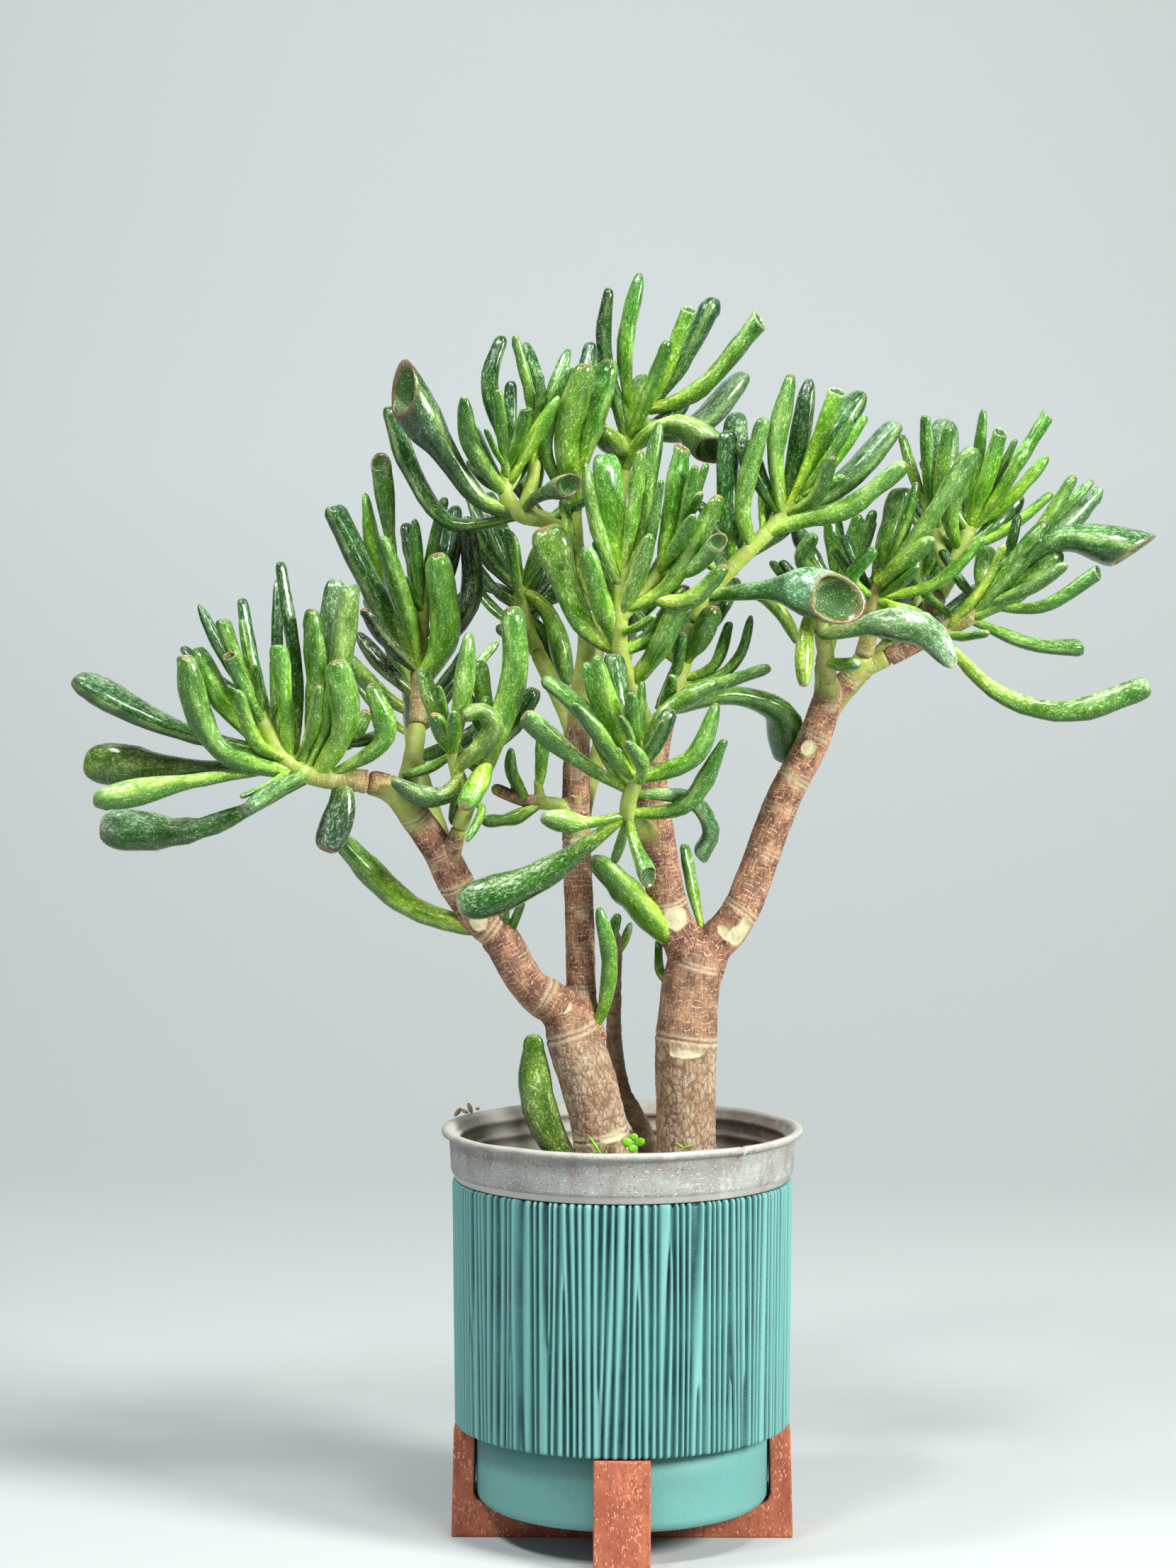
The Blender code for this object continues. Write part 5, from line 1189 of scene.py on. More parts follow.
def all_stems():
    """Every node's stems, by the node's name. Where a shoot takes over, the path is cut in two."""
    stems = {"left_trunk": [Stem(path) for path in LEFT_WOOD],
             "right_trunk": [Stem(path) for path in RIGHT_WOOD],
             "back_stem": [Stem(BACK_STEM)]}
    for name, shoot in SHOOTS.items():
        lower, upper = Stem(shoot.path[: shoot.at + 1]), Stem(shoot.path[shoot.at :], False)
        carried = stems[shoot.carrier]
        for old in [stem for stem in carried if stem.knots[0] == shoot.path[0]]:
            lower.line[0], lower.starts_inside = old.line[0], old.starts_inside
            carried.remove(old)
        carried.append(lower)
        way = upper.line[1, :3] - lower.line[-2, :3]
        upper.line[0, :3] += way / np.linalg.norm(way) * CLEAR
        stems[name] = [upper] + [Stem(fork) for fork in shoot.forks]
    return stems


# %% [markdown]
# A leaf of the tables starts in the middle of its stem. The back of the crown can't be read from the front,
# so each shoot also gets leaves by rule: one after the other up the stem, and steeper towards the tip. Each
# is turned by the golden angle from the last. Where the front is full, they only swing about the back.

# %% Leaves as curves
LEAF_ROOT = 0.55
LEAF_CLEAR = 1.0
SWELL = 0.35
LONG_SWELL = 0.55
SPOON = 1.3
TURN = math.radians(137.5)
LOW_SLOPE = 28.0
SLOPE_RANGE = 42.0
BACK_SWING = math.radians(75)
FILL_WIDTH = 7.0
FILL_WIDTH_RANGE = 2.2
FILL_FROM, FILL_OVER = 0.25, 0.7
FILL_SHORTER = 0.25
FILL_LENGTH_RANGE = 0.14
FILL_SAG = 0.07
SAG = 0.06
NEAR_ENOUGH = 4


class Blade:
    """A leaf by its knots (x, z, y, share) as seen from the front. A knot takes its share of the lean."""

    def __init__(self, owner, knots, lean, width, end, face, look, cap, full):
        self.owner, self.knots, self.lean = owner, knots, lean
        self.width, self.end, self.face = width, end, face
        self.look, self.cap, self.full = look, cap, full

    def readings(self, count):
        """Rows of x, z, y, share and half width."""
        way = np.linspace(0, 1, count)
        start = LEAF_ROOT + (1 - LEAF_ROOT) * np.clip(way / 0.4, 0, 1) ** 0.8
        room = LONG_SWELL if self.end > SPOON * self.width else SWELL
        swell = np.clip(1 - (1 - way) / room, 0, 1)
        swell = swell * swell * (3 - 2 * swell)
        half = self.width / 2 * start * (1 - swell) + self.end / 2 * swell
        return np.column_stack([spline(self.knots, count), half])

    def line(self, count):
        return placed(self.readings(count), self.lean)


def placed(rows, lean):
    """Rows of x, y, z and half width in space, for rows of readings."""
    depth = rows[:, 2] + lean * rows[:, 3]
    away = 1 + depth / EYE_BACK
    height = EYE_UP + (rows[:, 1] - EYE_UP) * away
    return np.column_stack([rows[:, 0] * away, depth, height, rows[:, 4] * away])


def nearest(stems, reading):
    """The row of the stems that is seen nearest to a reading, clear of where they meet another node."""
    rows = np.vstack([stem.line[0 if stem.starts_inside else 1 :] for stem in stems])
    seen = np.array([to_reading(row) for row in rows])
    return rows[int(np.hypot(seen[:, 0] - reading[0], seen[:, 1] - reading[1]).argmin())]


def read_blade(owner, stems, entry):
    """A leaf of the tables, from the middle of its stem to its tip."""
    x, z, depth = to_reading(nearest(stems, entry.root))
    seen = [(x, z)]
    if math.dist((x, z), entry.root) > NEAR_ENOUGH:
        seen.append(entry.root)
    seen += entry.by
    reach = math.dist(seen[0], entry.tip)
    if not entry.by:
        along_x, along_z = (entry.tip[0] - x) / reach, (entry.tip[1] - z) / reach
        sag = SAG * reach * along_x
        seen.append(((x + entry.tip[0]) / 2 + sag * along_z, (z + entry.tip[1]) / 2 - sag * along_x))
    seen.append(entry.tip)
    steps = [0.0]
    for a, b in zip(seen, seen[1:]):
        steps.append(steps[-1] + math.dist(a, b))
    knots = [(x, z, depth, step / steps[-1]) for (x, z), step in zip(seen, steps)]
    return Blade(owner, knots, entry.lean, entry.width, entry.end, entry.face, entry.look,
                 entry.cap, entry.full)


def filled_blades(owner, stems, count, length, shy):
    """count leaves made by rule, one after the other up the stem. Shy ones all grow on the side that a front
    view doesn't show."""
    line = stems[0].line
    blades = []
    for k in range(count):
        rise = (k + 1) / (count + 1)
        row = line[round((FILL_FROM + FILL_OVER * rise) * (len(line) - 1))]
        turn = math.pi / 2 + BACK_SWING * math.sin(k * TURN) if shy else k * TURN
        slope = math.radians(LOW_SLOPE + SLOPE_RANGE * rise)
        reach = length * (1.0 - FILL_SHORTER * rise)
        reach = reach * (1 + FILL_LENGTH_RANGE * math.sin(5.1 * k + len(owner)))
        way = Vector((math.cos(turn) * math.cos(slope), math.sin(turn) * math.cos(slope), math.sin(slope)))
        root = Vector(row[:3])
        middle = root + way * reach * 0.5 - Vector((0, 0, FILL_SAG * reach))
        tip = root + way * reach
        width = FILL_WIDTH + FILL_WIDTH_RANGE * math.sin(3.3 * k + 1)
        end = width * (1.15 if k % 3 == 0 else 0.85)
        knots = [(*to_reading(point), part) for point, part in ((root, 0.0), (middle, 0.5), (tip, 1.0))]
        blades.append(Blade(owner, knots, 0.0, width, end, None, ("dark", "green")[k % 3 == 1], None, 1.0))
    return blades


# %% [markdown]
# Leaves of different shoots may cross. Each is leaned nearer or further, along the line of sight, until it is
# clear of the others, so the front view keeps its drawing. Only pairs that are seen to touch can ever meet.

# %% Clearing the leaves of each other
CLEARING_ROUNDS = 300
CLEARING_ROWS = 9
SEEN_TO_TOUCH = 1.08
LEAST_WEIGHT = 0.25
ON_ITS_STEM = 0.12
PUSH_SHARE = 0.6
LARGEST_STEP = 4


def crossing_pairs(x, z, half, other_x, other_z, other_half):
    gaps = np.hypot(x[:, None] - other_x[None, :], z[:, None] - other_z[None, :])
    return np.nonzero(gaps < SEEN_TO_TOUCH * (half[:, None] + other_half[None, :] + LEAF_CLEAR))


def clear_blades(blades, stems):
    rows = np.vstack([blade.readings(CLEARING_ROWS) for blade in blades])
    leaf_of = np.repeat(np.arange(len(blades)), CLEARING_ROWS)
    names = {name: k for k, name in enumerate(stems)}
    node = np.array([names[blade.owner] for blade in blades])[leaf_of]
    lean = np.array([blade.lean for blade in blades], float)
    share = rows[:, 3]
    weight = np.maximum(share, LEAST_WEIGHT)

    first, second = crossing_pairs(rows[:, 0], rows[:, 1], rows[:, 4], rows[:, 0], rows[:, 1], rows[:, 4])
    apart = (node[first] != node[second]) | ((share[first] > 0.5) & (share[second] > 0.5))
    keep = (leaf_of[first] != leaf_of[second]) & apart
    first, second = first[keep], second[keep]

    fixed = np.vstack([stem.line for own in stems.values() for stem in own])
    fixed_node = np.repeat([names[name] for name, own in stems.items() for _ in own],
                           [len(stem.line) for own in stems.values() for stem in own])
    seen = np.array([to_reading(row) for row in fixed])
    mine, wood_row = crossing_pairs(rows[:, 0], rows[:, 1], rows[:, 4], seen[:, 0], seen[:, 1], fixed[:, 3])
    keep = (node[mine] != fixed_node[wood_row]) & (share[mine] > ON_ITS_STEM)
    mine, wood_row = mine[keep], wood_row[keep]

    for _ in range(CLEARING_ROUNDS):
        now = placed(rows, lean[leaf_of])
        gap = np.linalg.norm(now[first, :3] - now[second, :3], axis=1)
        close = np.maximum(now[first, 3] + now[second, 3] + LEAF_CLEAR - gap, 0)
        side = np.where(now[first, 1] - now[second, 1] + 1e-6 * (first - second) > 0, 1, -1)
        push = np.bincount(first, side * close * PUSH_SHARE, len(rows))
        hits = np.bincount(first, close > 0, len(rows))
        gap = np.linalg.norm(now[mine, :3] - fixed[wood_row, :3], axis=1)
        close = np.maximum(now[mine, 3] + fixed[wood_row, 3] + LEAF_CLEAR - gap, 0)
        side = np.where(now[mine, 1] >= fixed[wood_row, 1], 1, -1)
        push += np.bincount(mine, side * close, len(rows))
        hits += np.bincount(mine, close > 0, len(rows))
        if not hits.any():
            break
        shared = np.maximum(np.bincount(leaf_of, hits * weight**2), 1e-6)
        lean += np.clip(np.bincount(leaf_of, push * weight) / shared, -LARGEST_STEP, LARGEST_STEP)
    for blade, settled in zip(blades, lean):
        blade.lean = settled


def all_blades(stems):
    blades = []
    on_wood = {"left_trunk": LEFT_LEAVES, "right_trunk": RIGHT_LEAVES, "back_stem": BACK_LEAVES}
    for name, entries in on_wood.items():
        blades += [read_blade(name, stems[name], entry) for entry in entries]
    for name, shoot in SHOOTS.items():
        blades += [read_blade(name, stems[name], entry) for entry in shoot.leaves]
        blades += filled_blades(name, stems[name], shoot.filled, shoot.fill_length, bool(shoot.leaves))
    clear_blades(blades, stems)
    return blades


STEMS = all_stems()
BLADES = all_blades(STEMS)
print("leaves:", len(BLADES))

# %% [markdown]
# ## Leaf finish
# The leaves are waxy. Each is yellow-green where it leaves the stem, a full green along the middle and bluish
# dark at the tip, mottled all over with pale dots and streaks, the palest of them painted highlight, with a
# pale or pink spot in the dimple at its end. Young and old leaves differ, and shaded leaves are given darker
# colours, as painted shade, so each leaf carries its own three colours on its vertices. The sides that look
# down and the insides of cups are painted darker, as painted shade, the sides that look up get more pale
# mottling, as painted light, and a pale line along each edge is a painted rim light. The mottling follows the
# leaf, so it reads a map
# of the skin: round the leaf and along it.

# %% Waxy leaf
ROOT, BODY, TIP = 0, 1, 2
# The shade look is painted shade for leaves deep in the crown; dark is partly the leaf's own deep green and
# partly painted shade.
LOOKS = {
    "green": ((0.45, 0.60, 0.018), (0.150, 0.330, 0.018), (0.072, 0.225, 0.036)),
    "dark": ((0.24, 0.42, 0.016), (0.034, 0.135, 0.014), (0.018, 0.092, 0.026)),
    "bright": ((0.52, 0.68, 0.020), (0.27, 0.50, 0.018), (0.11, 0.32, 0.035)),
    "pale": ((0.47, 0.61, 0.04), (0.225, 0.390, 0.055), (0.150, 0.300, 0.075)),
    "pink": ((0.46, 0.62, 0.025), (0.20, 0.41, 0.025), (0.15, 0.32, 0.05)),
    "red": ((0.36, 0.52, 0.03), (0.12, 0.27, 0.025), (0.13, 0.24, 0.04)),
    "shade": ((0.16, 0.28, 0.03), (0.026, 0.060, 0.022), (0.028, 0.070, 0.040)),
    "olive": ((0.14, 0.14, 0.04), (0.12, 0.21, 0.026), (0.17, 0.31, 0.03)),
    "grey": ((0.30, 0.44, 0.06), (0.105, 0.220, 0.070), (0.095, 0.205, 0.095)),
    "yellow": ((0.52, 0.62, 0.04), (0.34, 0.50, 0.035), (0.26, 0.42, 0.05)),
}
PINK = (0.50, 0.19, 0.14)
BROWN_LIP = (0.22, 0.105, 0.06)
PALE_LIP = (0.56, 0.64, 0.40)

waxy = Finish("waxy_leaf", Specular_IOR_Level=0.5, Sheen_Weight=0.08, Sheen_Roughness=0.3,
              Sheen_Tint=(0.80, 1.0, 0.55, 1))
tint = waxy.read("tint", "Color")
skin = waxy.read("skin", "Vector")
sunny = waxy.read("sunny")
streaky = waxy.stretch(skin, (1, 1, 0.45))
deeper = waxy.mix(1.0, tint, (0.11, 0.25, 0.03), "MULTIPLY")
# Pale specks: partly the leaf's own dots and partly painted highlight.
pale_speck_and_highlight = waxy.mix(0.38, waxy.mix(1.0, tint, (2.3, 1.9, 2.6), "MULTIPLY"), (0.90, 0.94, 0.72))
patch = waxy.noise(0.16, 3, streaky)
grain = waxy.noise(1.0, 6, streaky, Roughness=0.75)
where = waxy.math("ADD", grain, waxy.span(patch, 0.3, 0.7, 0.05, -0.06))
# Painted light and shade: more pale mottling where the surface looks up, more dark where it looks down.
where = waxy.math("ADD", where, waxy.span(sunny, -0.6, 0.9, -0.08, 0.06))
dots = waxy.span(waxy.cells(1.6, skin, "F1"), 0.14, 0.32, 1, 0)
dots = waxy.math("MULTIPLY", dots, waxy.span(waxy.noise(0.3, 2, skin), 0.42, 0.58, 0.0, 0.9))
# Painted rim light: a pale line along the edges of each leaf.
painted_rim_light = waxy.span(waxy.read("painted_rim_light"), 0.70, 0.94)
painted_rim_light = waxy.math("MULTIPLY", painted_rim_light, waxy.span(patch, 0.35, 0.6, 0.5, 0.08))
# Painted shade darkens the sides that look down and, fully, the insides of cups.
leaf_colour = waxy.layers(
    tint, (waxy.span(sunny, -0.70, 0.55, 0.97, 0), deeper), (waxy.span(patch, 0.44, 0.66, 0, 0.7), deeper),
    (waxy.span(where, 0.52, 0.66, 0, 0.9), pale_speck_and_highlight), (waxy.span(where, 0.30, 0.45, 0.9, 0), deeper),
    (dots, pale_speck_and_highlight), (painted_rim_light, (0.50, 0.68, 0.20)), (waxy.read("lip"), waxy.read("lip_tint", "Color")))
shine = waxy.span(waxy.noise(0.8, 4, streaky), 0.38, 0.62, 0.14, 0.27)
shine = waxy.math("MAXIMUM", shine, waxy.span(sunny, -1.16, -1.06, 0.6, 0))
leaf_normal = waxy.bump(waxy.noise(0.28, 2, streaky), 0.8, 0.36)
leaf_normal = waxy.bump(grain, 0.4, 0.05, leaf_normal)
WAXY_LEAF = waxy.done(leaf_colour, shine, leaf_normal)

# %% [markdown]
# A leaf is a finger: a circle, extruded ring by ring. The last rings close its end. Most ends are round with
# a little dimple, swollen ones are like a club, thin ones come to a point, and on a few the dimple is an open
# cup. The straight finger is made once. Every leaf is a copy of it, bent along its own curve, flattened and
# swollen as its readings say, and an end is only another row of radii and places for the last rings.

# %% The straight finger
LEAF_SIDES = 18
BODY_RINGS = 14
# For each ring of the end: its radius and how far past the leaf's tip it lies, in half widths, and its share
# of the lip's colour. The last row is the deepest point.
ENDS = {
    "round": ((1.0, -1.65, 0), (0.98, -1.22, 0), (0.925, -0.86, 0), (0.83, -0.55, 0), (0.70, -0.30, 0.05),
              (0.54, -0.12, 0.2), (0.37, -0.02, 0.6), (0.22, 0.0, 1.0), (0.10, -0.06, 1.0), (0, -0.10, 1.0)),
    "club": ((1.0, -1.20, 0), (0.985, -0.84, 0), (0.93, -0.52, 0), (0.84, -0.27, 0), (0.71, -0.10, 0.05),
             (0.54, 0.0, 0.2), (0.38, -0.01, 0.7), (0.24, -0.12, 1.0), (0.11, -0.24, 0.8), (0, -0.28, 0.6)),
    "bulb": ((1.0, -1.35, 0), (0.985, -1.02, 0), (0.93, -0.70, 0), (0.83, -0.43, 0), (0.69, -0.20, 0.05),
             (0.52, -0.05, 0.2), (0.35, 0.02, 0.6), (0.20, 0.04, 1.0), (0.09, 0.02, 1.0), (0, -0.02, 1.0)),
    "point": ((1.0, -2.90, 0), (0.93, -2.10, 0), (0.83, -1.45, 0), (0.71, -0.95, 0), (0.58, -0.55, 0),
              (0.44, -0.26, 0.1), (0.30, -0.09, 0.4), (0.17, -0.01, 0.9), (0.07, 0.0, 1.0), (0, -0.02, 1.0)),
    "open": ((1.0, -0.95, 0), (1.02, -0.60, 0), (1.02, -0.28, 0.0), (0.985, -0.07, 0.45), (0.92, 0.02, 1.0),
             (0.85, -0.01, 0.9), (0.79, -0.18, 0.1), (0.66, -0.50, 0), (0.38, -0.74, 0), (0, -0.82, 0)),
}
# How far each kind of end is cut off slanting, in degrees from square.
SLANTS = {"round": 10, "fat": 10, "club": 12, "bulb": 14, "point": 8, "bract": 8, "open": 26, "spoon": 50,
          "boat": 44}
# How the width changes along a leaf: at its root, at 0.3, 0.55 and 0.8 of its length, and at its tip.
SWELLING = {"bulb": (0.62, 0.60, 0.82, 1.10, 1.08), "spoon": (0.66, 0.64, 0.80, 1.0, 1.0),
            "boat": (0.70, 0.62, 0.84, 1.1, 1.0), "bract": (0.62, 0.74, 1.15, 1.38, 1.0),
            "fat": (0.62, 0.95, 1.25, 1.28, 1.05)}
EVEN_SWELLING = (0.80, 0.86, 1.0, 1.03, 0.98)
END_RINGS = 9


def straight_finger():
    bm = bmesh.new()
    _, _, ends = stacked_rings(bm, LEAF_SIDES, BODY_RINGS + END_RINGS, True)
    bmesh.ops.poke(bm, faces=ends)
    face_out(bm)
    mesh = bpy.data.meshes.new("straight_finger")
    bm.to_mesh(mesh)
    bm.free()
    return mesh


FINGER = straight_finger()
finger = np.array([vert.co for vert in FINGER.vertices])
LEVEL = np.round(finger[:, 2]).astype(int)
LEVEL[(np.hypot(finger[:, 0], finger[:, 1]) < 0.01) & (LEVEL > 0)] = BODY_RINGS + END_RINGS
print("a leaf has", len(finger), "vertices")

# %% [markdown]
# Bending: at every ring the frame is the way the leaf goes, its broad direction, and the side it faces. The
# broad direction is square to both. A width was read from the front, but a leaf that leans to the side shows
# its narrow edge there, so its rings are scaled until the width seen from the front is the one read. A few
# waves of noise along each leaf keep it from looking machined.

# %% Bending a finger into a leaf
BROAD = 12.0
ROOT_THICK = 0.95
BROAD_THICK = 0.68
SLENDER_THICK = 0.86
CUPPED_THICK = 0.86
FULLNESS = 1.06
FULLEST = 1.28
LUMPS = 0.12
CHANNEL = 0.22
FINE_ROWS = 60
SURE_FROM = 20
CUPPED = ("open", "spoon", "boat")
SCOOPED = ("spoon", "boat")
CUP_GREEN = (0.085, 0.27, 0.004)
# No side can look down by more than 1, so the leaf finish knows the inside of a cup by this: there it is
# rougher and painted fully dark, as painted shade.
UNSUNNED = -1.2
HASH_KEYS = ((127.1, 311.7, 74.7), (269.5, 183.3, 246.1), (113.5, 271.9, 124.6))
HASH_SCALE = 43758.5453


def inner_side(line):
    """The side of a leaf that looks up and back to its stem, where the cup at its end opens."""
    way = Vector(line[-1][:3]) - Vector(line[0][:3])
    inwards = Vector((-way.x, -way.y - 6, 0))
    return Vector((0, 0, 1)) * max(way.xy.length, 1.0) + inwards * 0.6


def unit(rows):
    return rows / np.maximum(np.linalg.norm(rows, axis=-1, keepdims=True), 1e-9)


def soft_noise(points, seed=0.0):
    """Smooth noise from -1 to 1 at many points at once."""
    base = np.floor(points)
    part = points - base
    part = part * part * (3 - 2 * part)
    total = np.zeros(len(points))
    for corner in np.ndindex(2, 2, 2):
        value = np.sin((base + corner) @ np.array(HASH_KEYS[0]) + seed) * HASH_SCALE
        weight = np.prod(np.where(np.array(corner) > 0, part, 1 - part), axis=1)
        total += (2 * (value - np.floor(value)) - 1) * weight
    return total


def kind_of_end(blade, seed):
    if blade.cap:
        return blade.cap
    if blade.end > blade.width:
        return "club"
    return "point" if seed % 3 == 0 and blade.width < 9 else "round"


def carried_along(tangent, wide, from_tip):
    """The broad direction, taken where it is surest and carried from there without a twist."""
    start = SURE_FROM + int(np.linalg.norm(wide[SURE_FROM:], axis=1).argmax())
    if from_tip:
        start = len(wide) - 1
    wide = unit(wide)
    down, up = range(start - 1, -1, -1), range(start + 1, len(wide))
    for k, last in [(k, k + 1) for k in down] + [(k, k - 1) for k in up]:
        kept = wide[last] - tangent[k] * (wide[last] @ tangent[k])
        wide[k] = kept / math.sqrt(kept @ kept)
    return wide


def bent_finger(blade, seed):
    """The vertices of one leaf in millimetres, its skin map, how far along each is, its share of the lip, how
    far up each looks, and the kind of end."""
    fine = blade.line(FINE_ROWS)
    reach = np.concatenate([[0], np.cumsum(np.linalg.norm(np.diff(fine[:, :3], axis=0), axis=1))])
    tangent = unit(np.gradient(fine[:, :3], reach, axis=0))
    kind = kind_of_end(blade, seed)
    cupped = kind in CUPPED
    flat = CUPPED_THICK if cupped else BROAD_THICK if max(blade.end, blade.width) >= BROAD else SLENDER_THICK
    facing = np.array(blade.face or inner_side(fine))
    if not blade.face:
        aside = np.cross(tangent[-1], unit(facing)) * np.linalg.norm(facing)
        facing = facing + 0.35 * math.sin(seed * 2.1) * aside
    wide = carried_along(tangent, np.cross(facing[None, :], tangent), bool(blade.face))
    up = np.cross(tangent, wide)
    seen_side = unit(np.column_stack([-tangent[:, 2], np.zeros(FINE_ROWS), tangent[:, 0]]))
    seen = np.hypot((wide * seen_side).sum(axis=1), flat * (up * seen_side).sum(axis=1))
    fuller = min(max(1 / float(seen[SURE_FROM:].mean()), 1.0), FULLEST) * FULLNESS * blade.full

    size = fine[-1, 3] * fuller
    profile = np.array(ENDS["open" if cupped else {"fat": "round", "bract": "point"}.get(kind, kind)])
    body = np.linspace(0, max(reach[-1] + profile[0, 1] * size, 0.5 * reach[-1]), BODY_RINGS + 1)[:-1]
    at = np.concatenate([body, reach[-1] + profile[:, 1] * size])
    inside = np.clip(at, 0, reach[-1])
    line, way, wide = (np.column_stack([np.interp(inside, reach, column) for column in rows.T])
                       for rows in (fine, tangent, wide))
    way, wide = unit(way), unit(wide)
    up = np.cross(way, wide)
    centre = line[:, :3] + way * (at - inside)[:, None]
    share = inside / reach[-1]
    flatness = ROOT_THICK + (flat - ROOT_THICK) * share
    lumps = soft_noise(np.column_stack([at / 7, np.full(len(at), 3.7 * seed), 0 * at]))
    swollen = np.interp(share, (0, 0.3, 0.55, 0.8, 1), SWELLING.get(kind, EVEN_SWELLING))
    half = line[:, 3] * fuller * (1 + LUMPS * lumps) * swollen
    half[BODY_RINGS:] = half[BODY_RINGS] * profile[:, 0]
    thick = half * flatness * (1 + LUMPS * lumps[::-1])

    x, y = finger[:, 0].copy(), finger[:, 1].copy()
    hollow = CHANNEL * (0.35 + share[LEVEL]) * np.clip(y, 0, 1) ** 2
    y = y * (1 - hollow)
    tilt = math.tan(math.radians(SLANTS[kind]))
    run = (1.6 + 1.5 * tilt) * size
    slant = np.clip((at - reach[-1] + run) / run, 0, 1)[LEVEL] ** 1.4
    overhang = 0.35 * tilt * half.max() * (kind in SCOOPED)
    forward = -slant * (tilt * y * thick[LEVEL] + overhang)
    place = centre[LEVEL] + wide[LEVEL] * (x * half[LEVEL])[:, None] + up[LEVEL] * (y * thick[LEVEL])[:, None]
    place = place + way[LEVEL] * forward[:, None]
    turn = np.arctan2(finger[:, 1], finger[:, 0])
    girth = np.maximum(half[LEVEL], 1.0)
    skin_map = np.column_stack([np.cos(turn) * girth, np.sin(turn) * girth, at[LEVEL] + 61.0 * (seed % 97)])
    lip = profile[np.maximum(LEVEL - BODY_RINGS, 0), 2] * (LEVEL >= BODY_RINGS)
    sunny = (wide[LEVEL] * finger[:, :1] + up[LEVEL] * finger[:, 1:2])[:, 2]
    if cupped:
        sunny[LEVEL >= BODY_RINGS + 6] = UNSUNNED
    return place, skin_map, share[LEVEL], lip, sunny, "open" if cupped else kind


def leaf_colours(blade, along, kind, seed):
    """Three colours blended along the leaf, deeper in an open cup, and its lip's colour and strength."""
    draw = random.Random(seed)
    look = np.array(LOOKS[blade.look])
    look = look * draw.uniform(0.94, 1.46) * np.array([draw.uniform(0.82, 1.16), 1, draw.uniform(0.8, 1.2)])
    root = np.clip(1 - along / 0.38, 0, 1)[:, None] ** 1.3
    tip = np.clip((along - 0.45) / 0.55, 0, 1)[:, None]
    colour = look[BODY] * (1 - tip) + look[TIP] * tip
    colour = colour * (1 - root) + look[ROOT] * root
    if kind == "open":
        deep = np.clip(LEVEL - BODY_RINGS - 5, 0, 1)[:, None]
        colour = colour * (1 - deep) + np.array(CUP_GREEN) * deep
    bold, scooped = blade.look in ("pink", "red"), blade.cap in SCOOPED
    pinkish = bold or draw.random() < 0.35
    lip = np.array(BROWN_LIP if scooped else PINK if pinkish else PALE_LIP) * draw.uniform(0.8, 1.15)
    strength = 0.9 if bold else 0.65 if scooped or pinkish else 0.45
    return colour, np.tile(lip, (len(along), 1)), strength


def grow_leaves(name, blades, *nodes):
    """All leaves of one node as one piece."""
    bm = bmesh.new()
    for _ in blades:
        bm.from_mesh(FINGER)
    piece = finished(bm, name, WAXY_LEAF, "leaf", *nodes)
    dressed = []
    for k, blade in enumerate(blades):
        seed = sum(map(ord, name)) + 17 * k
        place, skin_map, along, rim, sunny, kind = bent_finger(blade, seed)
        colour, lip, strength = leaf_colours(blade, along, kind, seed)
        opaque = np.ones(len(along))
        dressed.append((place * MM, np.column_stack([colour, opaque]), np.column_stack([lip, opaque]),
                        rim * strength, skin_map, sunny, 1 - np.abs(finger[:, 1])))
    places, *layers = map(np.concatenate, zip(*dressed))
    piece.data.vertices.foreach_set("co", places.astype(np.float32).ravel())
    for layer, values in zip(("tint", "lip_tint", "lip", "skin", "sunny", "painted_rim_light"), layers):
        write_attribute(piece.data, layer, values)
    piece.data.update()


for name in STEMS:
    own = [blade for blade in BLADES if blade.owner == name]
    grow_leaves(name + "_leaves", own, name)
bpy.data.meshes.remove(FINGER)

# %% [markdown]
# ## Bark and young stems
# The old trunks are grey-tan with a net of small fissures. The branches above are red-brown, crossed by short
# pale lines, and marked by smooth scars in rings where leaves once stood. The youngest stems are still
# green. One material does all three: an attribute for age blends them, and others carry the fissures and the
# scars, which are also real relief in the mesh.

# %% Bark
bark = Finish("jade_bark", Roughness=0.8)
flat = bark.read("flat", "Vector")
age = bark.read("age")
tall = bark.stretch(flat, (1, 1, 0.35))
blotch = bark.span(bark.noise(0.13, 4, flat), 0.38, 0.62)
pale_fibres = bark.span(bark.noise(1.7, 4, bark.stretch(flat, (1, 1, 0.18))), 0.50, 0.68, 0, 0.65)
fibres = bark.span(bark.noise(1.5, 4, bark.stretch(flat, (1, 1, 0.13))), 0.50, 0.63)
upwards = bark.math("MULTIPLY", bark.add("SeparateXYZ", {"Vector": flat}, 2), 0.42)
waves = bark.math("ADD", upwards, bark.math("MULTIPLY", bark.noise(0.16, 3, flat), 3.0))
threads = bark.span(bark.math("PINGPONG", waves, 0.5), 0.015, 0.095, 1, 0)
cork = bark.span(bark.noise(0.33, 3, bark.stretch(flat, (1, 1, 2))), 0.46, 0.56, 0, 0.9)
cork = bark.math("MULTIPLY", threads, cork)
fine_net = bark.span(bark.cells(1.0, bark.stretch(flat, (0.50, 0.50, 0.22))), 0.01, 0.07, 0.55, 0)
fissure = bark.math("MAXIMUM", bark.read("crack"), fine_net)

